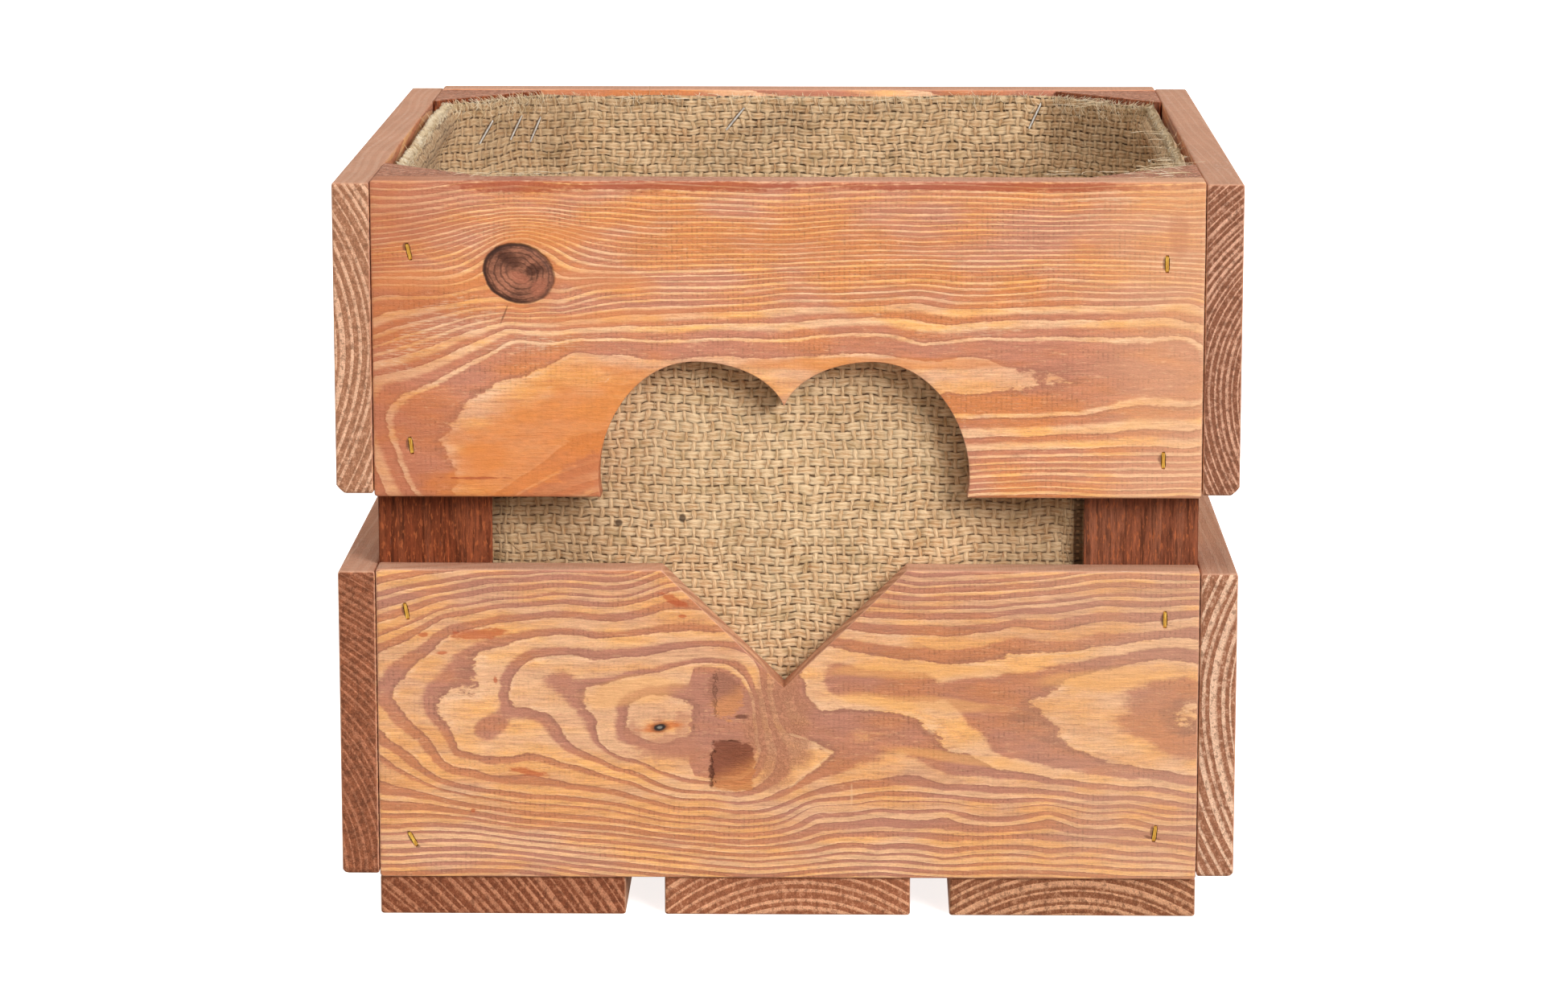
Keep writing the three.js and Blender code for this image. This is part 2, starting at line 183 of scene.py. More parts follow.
class Graph:
    """One material, whose nodes are written as arithmetic on places in millimetres."""

    def __init__(self, name):
        self.material = bpy.data.materials.new(name)
        self.material.use_nodes = True
        self.tree = self.material.node_tree
        self.tree.nodes.clear()
        self.in_mm = None
        self.place_parts = None
        self.shader = self.node("ShaderNodeBsdfPrincipled")
        output = self.node("ShaderNodeOutputMaterial")
        self.tree.links.new(self.shader.outputs[0], output.inputs["Surface"])

    def node(self, kind, **settings):
        made = self.tree.nodes.new(kind)
        for name, value in settings.items():
            setattr(made, name, value)
        return made

    def put(self, value, socket):
        """Links a term to a socket, or sets the socket to a plain number, vector or colour."""
        if isinstance(value, Term):
            self.tree.links.new(value.socket, socket)
        elif isinstance(value, tuple):
            socket.default_value = value[:len(socket.default_value)]
        else:
            socket.default_value = value

    def math(self, operation, *values):
        made = self.node("ShaderNodeMath", operation=operation)
        for value, socket in zip(values, made.inputs):
            self.put(value, socket)
        return Term(self, made.outputs[0])

    def place_vector(self):
        """The place on the object in millimetres, as one vector."""
        if self.in_mm is None:
            place = self.node("ShaderNodeTexCoord").outputs["Object"]
            self.in_mm = self.shade(Term(self, place), 1 / MM)
        return self.in_mm

    def place(self):
        """The place on the object in millimetres, along each axis."""
        if self.place_parts is None:
            self.place_parts = self.split(self.place_vector())
        return self.place_parts

    def split(self, vector):
        made = self.node("ShaderNodeSeparateXYZ")
        self.put(vector, made.inputs[0])
        return [Term(self, socket) for socket in made.outputs]

    def mapped(self, scale, shift):
        """The place in millimetres, scaled and then shifted along each axis."""
        made = self.node("ShaderNodeMapping", vector_type="POINT")
        self.put(self.place_vector(), made.inputs["Vector"])
        made.inputs["Scale"].default_value = scale
        made.inputs["Location"].default_value = shift
        return Term(self, made.outputs[0])

    def facing(self):
        """The surface's own direction, as how far it points along each axis, without sign."""
        normal = self.node("ShaderNodeTexCoord").outputs["Normal"]
        return [self.math("ABSOLUTE", part) for part in self.split(Term(self, normal))]

    def attribute(self, name):
        return Term(self, self.node("ShaderNodeAttribute", attribute_name=name).outputs["Fac"])

    def attribute_parts(self, name):
        """The three parts of a vector that the mesh holds."""
        return self.split(Term(self, self.node("ShaderNodeAttribute", attribute_name=name).outputs["Vector"]))

    def vector(self, *parts):
        made = self.node("ShaderNodeCombineXYZ")
        for value, socket in zip(parts, made.inputs):
            self.put(value, socket)
        return Term(self, made.outputs[0])

    def noise(self, vector, detail=2.0, roughness=0.5, distortion=0.0):
        """Smooth noise between about -1 and 1."""
        made = self.node("ShaderNodeTexNoise")
        self.put(vector, made.inputs["Vector"])
        made.inputs["Scale"].default_value = 1.0
        made.inputs["Detail"].default_value = detail
        made.inputs["Roughness"].default_value = roughness
        made.inputs["Distortion"].default_value = distortion
        return self.math("MULTIPLY_ADD", Term(self, made.outputs["Fac"]), 2.0, -1.0)

    def chance(self, *parts):
        """A value from 0 to 1 that is different for each whole number given."""
        made = self.node("ShaderNodeTexWhiteNoise", noise_dimensions="3D")
        self.put(self.vector(*parts), made.inputs["Vector"])
        return Term(self, made.outputs["Value"])

    def step(self, value, low, high):
        """0 at low and 1 at high, with a smooth rise. It falls where low is above high."""
        made = self.node("ShaderNodeMapRange", interpolation_type="SMOOTHSTEP")
        for given, socket in zip((value, low, high, 0.0, 1.0), made.inputs):
            self.put(given, socket)
        return Term(self, made.outputs[0])

    def mix(self, amount, first, second):
        made = self.node("ShaderNodeMix", data_type="RGBA", clamp_factor=True)
        self.put(amount, made.inputs["Factor"])
        self.put(first, made.inputs[6])
        self.put(second, made.inputs[7])
        return Term(self, made.outputs[2])

    def shade(self, colour, amount):
        """A colour times a number."""
        made = self.node("ShaderNodeVectorMath", operation="SCALE")
        self.put(colour, made.inputs[0])
        self.put(amount, made.inputs["Scale"])
        return Term(self, made.outputs[0])

    def finish(self, colour, roughness, height=None, **constants):
        """Links the colour, the roughness and the height in millimetres, and sets some sockets."""
        self.put(colour, self.shader.inputs["Base Color"])
        self.put(roughness, self.shader.inputs["Roughness"])
        if height is not None:
            bump = self.node("ShaderNodeBump")
            bump.inputs["Strength"].default_value = 1.0
            bump.inputs["Distance"].default_value = MM
            self.put(height, bump.inputs["Height"])
            self.tree.links.new(bump.outputs[0], self.shader.inputs["Normal"])
        for name, value in constants.items():
            self.shader.inputs[name.replace("_", " ")].default_value = value
        return self.material


# Half the depth of a mark, which reaches right through a board
THROUGH = 1e6


class Spot:
    """A round or oval mark on a board's face. out is 0 in its middle and 1 on its rim."""

    def __init__(self, graph, x, z, across, up, tilt=0.0, rag=None):
        mapping = graph.node("ShaderNodeMapping", vector_type="TEXTURE")
        graph.put(graph.place_vector(), mapping.inputs["Vector"])
        mapping.inputs["Location"].default_value = (x, 0, z)
        mapping.inputs["Rotation"].default_value = (0, -math.radians(tilt), 0)
        mapping.inputs["Scale"].default_value = (across, THROUGH, up)
        self.vector = Term(graph, mapping.outputs[0])
        length = graph.node("ShaderNodeVectorMath", operation="LENGTH")
        graph.put(self.vector, length.inputs[0])
        self.out = Term(graph, length.outputs["Value"])
        if rag is not None:
            self.out = self.out + rag

    def parts(self):
        """How far out the point lies along the mark and across it."""
        u, _, v = self.vector.graph.split(self.vector)
        return u, v


def stains(g, colour, rag, shade, amount, places):
    """Paints like marks over a colour. places lists them as (x, z, half width, half height, tilt)."""
    most = 0.0
    for x, z, across, up, tilt in places:
        spot = Spot(g, x, z, across, up, tilt, rag)
        most = g.math("MAXIMUM", most, g.step(spot.out, 1.15, 0.6))
    return g.mix(most * amount, colour, shade)


# Materials

# Distance between the saw's marks on a board, and between stitches on the lining's seam
CHATTER = 1.9
STITCH = 2.6
# Places on the lining: its seam, along which shade is painted, where its rim frays, and the heights between
# which painted shade of folds darkens its rim
SEAM_X = 110.6
FRINGE_SIDE = 151.0
FRINGE_CORNER = 112.0
RIM_SHADE_LOW = 225.0
RIM_SHADE_HIGH = 262.0
# How far behind a lining staple's front its crown still reaches
CROWN_BAND = 1.4
STAPLE_SHADOW = paint(86, 48, 30)
LINING_STAPLES = [f"lining_staple_{number}" for number in range(1, 6)]


def wire_line(node):
    """A lining staple's crown, seen from the front: its middle, half its length and its lean in degrees."""
    solid = node_points(node)
    outward = solid[:, 1] + np.where(np.abs(solid[:, 0]).min() > FRINGE_CORNER, np.abs(solid[:, 0]), 0)
    points = solid[outward < outward.min() + CROWN_BAND][:, [0, 2]]
    middle = (points.max(0) + points.min(0)) / 2
    along = np.linalg.svd(points - middle)[2][0]
    along = along * (1 if along[1] > 0 else -1)
    half = np.abs((points - middle) @ along).max()
    return middle, half, math.degrees(math.atan2(-along[0], along[1]))


class WoodLook:
    """The colours and the strength of the figure on one kind of board.

    soft is how gently a ring turns pale, ripple the saw's marks across the grain, streak the dashes and
    scuffs, uneven the wander of the rings' spacing, mottle the blotches on end grain, gloss the shine, walls
    the paleness of sawn edges, ridge the pale lines, thread the lines along the grain, and crust the speckle.
    """

    soft = 0.11
    ripple = 1.0
    streak = 1.0
    uneven = 0.0
    mottle = 1.0
    gloss = 0.25
    walls = 1.0
    ridge = 1.0
    thread = 1.0
    crust = 1.0

    def __init__(self, early, early_warm, late, late_warm, sawn, end_early, end_late, **more):
        self.early = early
        self.early_warm = early_warm
        self.late = late
        self.late_warm = late_warm
        self.sawn = sawn
        self.end_early = end_early
        self.end_late = end_late
        for name, value in more.items():
            setattr(self, name, value)


def sawn_faces(g, noise, seed, look, pale, layers):
    """The colours of end grain and of sawn edges, and the pores of end grain."""
    hair, cloud, patch, crust = layers
    pores = g.noise(g.shade(g.place_vector(), 1.5), 4.0, 0.72)
    rays = noise(3.0, 2.4, 3.0, 0.6)
    end_rings = g.mix(pale + pores * 0.4 * look.mottle, look.end_early, look.end_late)
    end_colour = g.shade(end_rings, 1.0 + pores * 0.62 + rays * 0.24 * look.mottle)
    chips = g.noise(g.mapped((0.5, 0.5, 0.42), (seed, 0.0, 0.0)), 4.0, 0.72)
    end_colour = g.mix(g.step(chips, 0.04, 0.2) * 0.62, end_colour, g.shade(look.end_early, 0.6))
    end_colour = g.mix(g.step(chips, -0.06, -0.24) * 0.42, end_colour, g.shade(look.end_late, 1.06))
    saw = noise(0.5, 9.0)
    sawn_colour = g.mix(pale * 0.24, look.sawn, g.mix(0.5, look.late, paint(232, 206, 190)))
    bloom = g.step(noise(5.0, 1.2, 4.0, 0.7) + patch * 0.5, 0.12, 0.55)
    sawn_colour = g.mix(bloom * 0.34, sawn_colour, paint(232, 204, 188))
    sawn_tone = 1.0 + saw * 0.2 + hair * 0.16 + cloud * 0.14 + crust * 0.24
    return end_colour, g.shade(sawn_colour, sawn_tone), pores


def wood(name, grain, seed, look, marks=None):
    """Stained pine. grain is the axis that the piece's grain runs along.

    The mesh holds "growth", the number of the ring at each point, "late", the share of the ring that is pale,
    "arris", 1 on the worn edges, and "wall", 1 on sawn edges.
    """
    g = Graph(name)
    along = g.place()["xyz".index(grain)]
    end = g.step(g.facing()["xyz".index(grain)], 0.62, 0.82)

    def noise(length, width, detail=2.0, roughness=0.5):
        scale = [1 / (length if axis == grain else width) for axis in "xyz"]
        return g.noise(g.mapped(scale, (37.0 * seed, 11.0 * seed, 23.0 * seed)), detail, roughness)

    broad = noise(110.0, 34.0)
    cloud = noise(26.0, 9.0, 3.0)
    patch = noise(70.0, 5.0)
    streaks = noise(15.0, 1.3, 3.0, 0.6)
    fibre = noise(9.0, 0.6)
    hair = noise(4.5, 0.3, 3.0, 0.65)
    grit = noise(0.95, 0.5, 2.0, 0.7)
    wall = g.attribute("wall")
    arris = g.attribute("arris")

    wander = noise(26.0, 7.0) * 0.13 + noise(6.0, 3.0, 3.0) * 0.1 + noise(1.7, 0.9) * 0.05 + fibre * 0.035
    growth = g.attribute("growth") + wander * (1.0 - end * 0.6)
    if look.uneven:
        growth = growth + g.noise(g.vector(growth * 0.7, 3.0 * seed, 0.0), 1.0) * look.uneven
    ring = g.math("FLOOR", growth)
    phase = growth - ring
    luck = g.chance(ring, 3.0 + seed, 0.0)
    share = g.attribute("late") * (0.56 + luck * 0.88)
    soft = g.math("MAXIMUM", share * (look.soft * 2.4), 0.05)
    starts = 1.0 - share
    pale = g.step(phase, starts - soft, starts + soft) * g.step(phase, 0.995, 0.955)
    pale = pale * (0.6 + g.chance(ring, 7.0 + seed, 0.0) * 0.4 + patch * 0.46 + fibre * 0.3)
    line = g.step(phase, 0.11, 0.015) + g.step(phase, 0.955, 0.99)
    ridge = g.step(phase, 0.8, 0.92) * g.step(phase, 0.97, 0.94)
    ridge = ridge * g.step(patch + hair * 0.6, -0.2, 0.5) * look.ridge

    dark_colour = g.mix(g.step(broad + cloud * 0.6, -0.3, 0.3), look.early, look.early_warm)
    pale_colour = g.mix(g.step(cloud + broad * 0.6, -0.3, 0.35), look.late, look.late_warm)
    colour = g.mix(pale, dark_colour, pale_colour)
    colour = g.mix(line * 0.4 * (1.0 - end * 0.6), colour, g.shade(look.early, 0.55))

    colour = g.mix(ridge * 0.5 * (1.0 - end), colour, g.mix(0.4, look.late, paint(250, 222, 200)))
    crust = noise(1.9, 0.8, 4.0, 0.75)
    flecks = noise(5.0, 0.8, 3.0, 0.65)
    dashes = g.step(noise(2.2, 0.3, 2.0, 0.6) + grit * 0.35, 0.2, 0.62)
    scuffs = g.step(noise(7.0, 0.34, 3.0, 0.6) + cloud * 0.35 + patch * 0.15, 0.26, 0.62)
    for amount, shade, light in (
        (g.step(crust, -0.05, 0.4) * (pale * 0.34 + 0.12) * look.crust, look.early, 0.96),
        (g.step(crust, -0.1, -0.45) * 0.34 * look.crust, look.late, 1.1),
        (g.step(flecks, 0.06, 0.45) * 0.44 * look.crust, look.early, 0.84),
        (g.step(flecks, -0.14, -0.5) * 0.4 * look.crust, look.late, 1.06),
        (dashes * 0.42 * look.streak, look.early, 0.66),
        (scuffs * 0.5 * look.streak, look.late, 1.08),
    ):
        colour = g.mix(amount, colour, g.shade(shade, light))

    chatter = g.math("SINE", along * (2 * math.pi / CHATTER) + noise(30.0, 3.0) * 1.6) + grit * 0.6
    chatter_here = g.step(noise(30.0, 9.0), -0.35, 0.3) * (1.0 - pale * 0.75) * look.ripple
    ticks = g.step(chatter, -0.1, 0.9) * g.step(noise(1.7, 0.8), -0.2, 0.35) * chatter_here
    lean = (hair * 0.24 + fibre * 0.16 + streaks * 0.26) * look.thread
    tone = 1.06 + lean + grit * 0.2 + cloud * 0.08 + crust * 0.27 * look.crust - ticks * 0.26
    colour = g.shade(colour, tone)

    end_colour, sawn_colour, pores = sawn_faces(g, noise, seed, look, pale, (hair, cloud, patch, crust))
    colour = g.mix(wall * (1.0 - end) * look.walls, colour, sawn_colour)
    colour = g.mix(end, colour, end_colour)
    worn = g.step(arris + noise(6.0, 3.0, 3.0) * 0.6, 0.6, 1.0)
    colour = g.mix(worn * 0.6, colour, g.shade(look.sawn, 1.16))

    height = pale * 0.05 + hair * 0.05 + fibre * 0.05 - ticks * 0.05 - dashes * 0.06 + pores * end * 0.22
    height = height + crust * 0.1 * look.crust
    if marks:
        colour, height = marks(g, colour, height, noise)
    roughness = 0.62 + hair * 0.1 + pale * -0.05 + end * 0.15
    return g.finish(colour, roughness, height, Specular_IOR_Level=look.gloss)


# Marks on the upper front board, as (x, z, half width, half height, tilt in degrees)
FLAME = (-88.0, 184.0, 50.0, 24.0, 24)
FLAME_WEDGES = ((-74, 174.5, 20, 5.5, 26), (-86, 166, 18, 4, 10), (-66, 168, 10, 7, 0))
WARM_BANDS = (
    (-136, 246, 24, 5.5, 0), (-88, 262, 20, 4.5, 8), (-70, 246, 22, 5, -6), (-60, 232, 36, 3.2, 4),
)
ORANGE_BANDS = ((-116, 177, 13, 7, 30), (36, 214.5, 60, 2.6, 0))
RED_EDGES = (
    (-101, 281.3, 26, 2.8, 0), (-40, 281.4, 60, 2.0, 0), (80, 281.3, 80, 1.8, 0), (-117, 170.5, 12, 0.5, 0),
)
RED_BLOTCH = ((146, 263.5, 4.5, 9, 0),)
RUBBED_PLACES = (
    (68, 227, 22, 2.6, 0), (-114, 229.5, 9, 4.5, 40), (141.5, 253.0, 3.2, 3.2, 0), (-68, 207.5, 3.0, 0.4, 50),
    (-135, 226, 22, 8, 34), (-96, 222, 24, 4, 4), (155.5, 222, 1.2, 50, 0), (66.6, 180, 0.8, 19, 0),
    (120, 276.5, 34, 0.9, 0), (-142, 183, 1.6, 3.4, 20),
)
KNOT = (-100.6, 248.3, 13.4, 10.9, -20)
KNOT_DARK = ((-104, 254, 5.5, 2.6, -24), (-95, 250, 3.4, 2.4, 30))
KNOT_PALE = ((-100, 246.6, 4.6, 2.4, -30), (-93, 243, 3, 4.5, -40))
KNOT_CRACK = (-106.0, 233.2, 4.2, 0.5, 68)
UPPER_STAPLE_SHADOWS = (
    (-142.6, 258.4, 1.5, 1.6, 0), (-142.9, 183.6, 0.9, 2.6, 0), (140.8, 252.6, 0.8, 2.6, 0),
    (140.5, 178.4, 1.2, 2.4, 0),
)

# Marks on the lower front board, in the same form
CRUMBLY_PLACE = (-4.0, 74.0, 13.0, 25.0, 0)
YELLOW_BANDS = (
    (50, 84, 40, 3.0, -4), (48, 96.5, 40, 3.2, 0), (70, 62, 34, 2.4, -8), (-60, 88, 20, 6, 10),
    (120, 94, 26, 4, 4),
)
RED_SMEARS = (
    (-117, 110.3, 12, 2.2, 4), (-138, 110, 2.4, 0.9, 10), (-131, 103, 2.4, 0.8, 0),
    (-99, 56.6, 8, 1.4, -8), (-43, 123.6, 6, 1.9, -24), (-40, 117.5, 1.8, 0.8, 0),
    (-111, 92.5, 0.9, 1.2, 0), (-120, 41.5, 0.9, 1.0, 0),
)
PALE_SCRATCHES = (
    (3.6, 53, 5.0, 0.6, 38), (12.2, 60, 5.8, 0.6, 42), (12.6, 66.8, 5.4, 0.6, -32), (4, 70.8, 4.4, 0.5, -16),
    (24.5, 48.5, 0.45, 5, 0), (55, 74, 2.2, 2, 20),
)
DULL_PLACES = ((-46, 66.5, 13, 5.5, 6), (-59, 72, 4, 5, 0), (-40, 75, 4, 6, 0))
SMALL_KNOT = (-48.5, 74.2, 2.5, 1.4, 10)
KNOT_TEAR = (-47.5, 74.4, 10.0, 2.3, 8)
LOW_HOLLOW = (-20.8, 59.4, 8.4, 9.8, -3)
HIGH_HOLLOW = (-23.6, 86.6, 7.0, 9.4, 10)
CRUMB = (-17.5, 78.5, 3.0, 1.1, 4)
LOWER_STAPLE_SHADOWS = (
    (-145.4, 119.6, 0.9, 2.6, 8), (-144.2, 31.0, 0.9, 2.6, 20), (-141.6, 27.4, 1.4, 0.7, -20),
    (142.0, 116.8, 0.9, 2.6, 0), (139.2, 33.8, 0.9, 2.6, 0),
)
STAPLE_CRACK = (139.0, 31.6, 4.6, 0.7, -14)

# Dark specks on the lining, in the left part of the front's gap, in the same form
LINING_SPECKS = ((-64.5, 150.2, 1.7, 1.5, 0), (-40.0, 152.6, 1.5, 2.0, 0), (-52.0, 149.5, 0.8, 0.8, 0))


def upper_front_marks(g, colour, height, noise):
    """The knot, the stained edge, the orange flame and the rubbed places on the upper front board."""
    x, _, z = g.place()
    rag = noise(3.0, 1.2, 3.0) * 0.45
    broad_rag = noise(16.0, 6.0, 3.0) * 0.5
    flame = Spot(g, *FLAME, broad_rag)
    colour = g.mix(g.step(flame.out, 1.2, 0.6) * 0.76, colour, g.shade(paint(220, 130, 62), 1.0 + rag * 0.6))
    wedge_shade = g.shade(paint(194, 116, 80), 1.0 + rag * 0.4)
    colour = stains(g, colour, rag, wedge_shade, 0.62, FLAME_WEDGES)
    left_side = g.step(x + noise(60.0, 16.0) * 22.0, -112.0, -150.0)
    colour = g.mix(left_side * 0.5, colour, g.shade(paint(182, 98, 54), 1.0 + rag * 0.5))
    rubbed = g.step(noise(6.0, 0.5, 3.0, 0.65), -0.1, 0.5)
    for rough, shade, amount, places in (
        (broad_rag, paint(226, 142, 80), 0.4, WARM_BANDS),
        (broad_rag, paint(222, 132, 66), 0.5, ORANGE_BANDS),
        (rag * 2.0, paint(160, 62, 34), 0.62, RED_EDGES),
        (broad_rag, paint(176, 92, 66), 0.42, RED_BLOTCH),
        (rag * 2.2, paint(250, 216, 178), rubbed * 0.7, RUBBED_PLACES),
    ):
        colour = stains(g, colour, rough, shade, amount, places)
    pale_side = g.step(x + noise(60.0, 20.0) * 26.0, 96.0, 150.0)
    colour = g.mix(pale_side * 0.34, colour, g.shade(paint(240, 186, 142), 1.0 + rag * 0.3))

    knot = Spot(g, *KNOT, noise(5.0, 3.0, 3.0) * 0.05)
    knot_u, knot_v = knot.parts()
    swirl = g.noise(g.shade(knot.vector, 1.3), 4.0, 0.65)
    rings = g.step(g.math("SINE", knot.out * 38.0 + swirl * 5.0 + rag * 2.0), 0.1, 0.95)
    core = g.mix(g.step(swirl + rag * 0.6, -0.35, 0.4), paint(104, 64, 48), paint(182, 118, 90))
    core = g.mix(rings * g.step(knot.out, 0.1, 0.5) * 0.56, core, paint(66, 38, 28))
    core = stains(g, core, rag * 0.8, paint(78, 42, 28), 0.75, KNOT_DARK)
    core = stains(g, core, rag * 0.8, paint(178, 108, 82), 0.7, KNOT_PALE)
    core = g.shade(core, 1.0 + noise(1.6, 0.5, 4.0) * 0.5)
    halo = g.step(knot.out, 1.6, 1.0)
    colour = g.mix(halo * 0.3, colour, paint(212, 128, 74))
    inside = g.step(knot.out, 1.03, 0.97)
    colour = g.mix(inside, colour, core)
    rim = g.step(knot.out, 0.84, 0.96) * g.step(knot.out, 1.06, 0.99)
    heavy = g.step(knot_u + knot_v * 0.2, 0.9, -0.4) * 0.45 + 0.45
    colour = g.mix(rim * heavy, colour, paint(52, 28, 20))
    crack = Spot(g, *KNOT_CRACK, rag * 1.4)
    colour = g.mix(g.step(crack.out, 1.1, 0.5) * 0.6, colour, paint(96, 52, 34))
    colour = stains(g, colour, rag * 0.8, STAPLE_SHADOW, 0.62, UPPER_STAPLE_SHADOWS)
    low_edge = g.step(z, 164.6, 163.6)
    colour = g.mix(low_edge * 0.4, colour, paint(120, 66, 44))
    height = height - rim * 0.35 - inside * rings * 0.08
    return colour, height


def post_marks(g, colour, height, noise):
    """Dark streaks and orange flecks along a post."""
    dark = g.step(noise(34.0, 1.6, 3.0, 0.7), 0.0, 0.2)
    flecks = g.step(noise(4.0, 0.9, 2.0, 0.6), 0.1, 0.3)
    colour = g.mix(dark * 0.66, colour, g.shade(colour, 0.42))
    colour = g.mix(flecks * 0.5, colour, paint(200, 112, 66))
    return colour, height - dark * 0.1


def lower_front_marks(g, colour, height, noise):
    """The small knot, the two torn hollows, the crumbly place beside them and the red smears."""
    rag = noise(3.0, 1.2, 3.0) * 0.45
    broad_rag = noise(14.0, 6.0, 3.0) * 0.5
    crumbs = g.noise(g.shade(g.place_vector(), 1 / 1.5), 4.0, 0.7)
    beside = Spot(g, *CRUMBLY_PLACE, broad_rag)
    soft = g.step(beside.out, 1.15, 0.7)
    cracks = g.step(g.math("ABSOLUTE", crumbs + broad_rag * 0.3), 0.07, 0.01)
    colour = g.mix(soft * 0.74, colour, g.shade(paint(190, 130, 98), 1.0 + crumbs * 0.5))
    colour = g.mix(soft * cracks * 0.5, colour, paint(126, 74, 50))
    colour = stains(g, colour, broad_rag, paint(242, 178, 106), 0.42, YELLOW_BANDS)
    colour = stains(g, colour, rag * 1.6, paint(184, 78, 38), 0.66, RED_SMEARS)
    colour = stains(g, colour, rag * 1.8, paint(240, 194, 148), 0.4, PALE_SCRATCHES)

    x, _, z = g.place()
    pale_side = g.step(x + noise(60.0, 20.0) * 26.0, 70.0, 130.0)
    colour = g.mix(pale_side * 0.12, colour, g.shade(paint(240, 200, 166), 1.0 + rag * 0.3))
    dull_shade = g.shade(paint(190, 128, 100), 1.0 + crumbs * 0.3)
    colour = stains(g, colour, rag * 1.4, dull_shade, 0.6, DULL_PLACES)
    knot = Spot(g, *SMALL_KNOT, rag * 0.3)
    tear = Spot(g, *KNOT_TEAR, rag * 1.2)
    colour = g.mix(g.step(tear.out, 1.15, 0.3) * 0.85, colour, paint(206, 112, 56))
    colour = g.mix(g.step(knot.out, 1.7, 1.0) * 0.7, colour, paint(128, 74, 46))
    colour = g.mix(g.step(knot.out, 1.1, 0.75), colour, paint(54, 42, 38))
    colour = g.mix(g.step(knot.out, 0.55, 0.25), colour, paint(134, 128, 120))

    strands = noise(7.0, 0.42, 4.0, 0.65)
    ragged = rag * 3.0 + broad_rag * 4.0
    low = Spot(g, *LOW_HOLLOW)
    low_u, low_v = [g.math("ABSOLUTE", part) for part in low.parts()]
    low_out = g.math("MAXIMUM", low_u, low_v) * 0.7 + low.out * 0.3 + rag * 0.5 + broad_rag * 0.2
    low_in = g.step(low_out, 1.06, 0.92)
    hollow = g.mix(g.step(z + strands * 6.0 - x * 0.5, 63.0, 72.0), paint(212, 134, 80), paint(134, 72, 50))
    colour = g.mix(low_in * 0.82, colour, g.shade(hollow, 1.0 + strands * 0.5))
    high = Spot(g, *HIGH_HOLLOW, rag + broad_rag * 0.5)
    high_in = g.step(high.out, 1.1, 0.8)
    shaded = g.step(z + strands * 4.0 - x * 0.5, 95.0, 101.0)
    upper_hollow = g.mix(shaded, paint(228, 152, 92), paint(172, 114, 90))
    colour = g.mix(high_in * 0.62, colour, g.shade(upper_hollow, 1.0 + strands * 0.4))
    lip = g.step(g.math("ABSOLUTE", z - 69.0 + ragged * 0.35), 1.0, 0.2) * g.step(low_out, 1.05, 0.85)
    jag = noise(1.2, 2.0, 4.0, 0.7)
    lip = lip + g.step(g.math("ABSOLUTE", x + 29.0 + jag * 3.4), 0.9, 0.2) * g.step(low_out, 1.12, 0.9)
    lip = lip + g.step(g.math("ABSOLUTE", x + 27.4 + jag * 3.6), 0.7, 0.1) * g.step(high.out, 1.1, 0.9) * 0.5
    colour = g.mix(lip * 0.7, colour, paint(84, 44, 30))
    crumb = Spot(g, *CRUMB, rag)
    colour = g.mix(g.step(crumb.out, 1.1, 0.5) * 0.7, colour, paint(92, 46, 30))
    colour = stains(g, colour, rag * 0.8, STAPLE_SHADOW, 0.62, LOWER_STAPLE_SHADOWS)
    crack = Spot(g, *STAPLE_CRACK, rag * 1.6)
    colour = g.mix(g.step(crack.out, 1.1, 0.5) * 0.6, colour, paint(88, 44, 28))
    height = height + soft * crumbs * 0.25 + (low_in + high_in) * strands * 0.3 - lip * 0.4
    return colour, height


def cloth_noise(g, side, rise, across, up, shift=0.0, detail=2.0, roughness=0.5):
    """Noise over the flat cloth, whose spots are about across wide and up tall."""
    return g.noise(g.vector(side / across, rise / up, shift), detail, roughness)


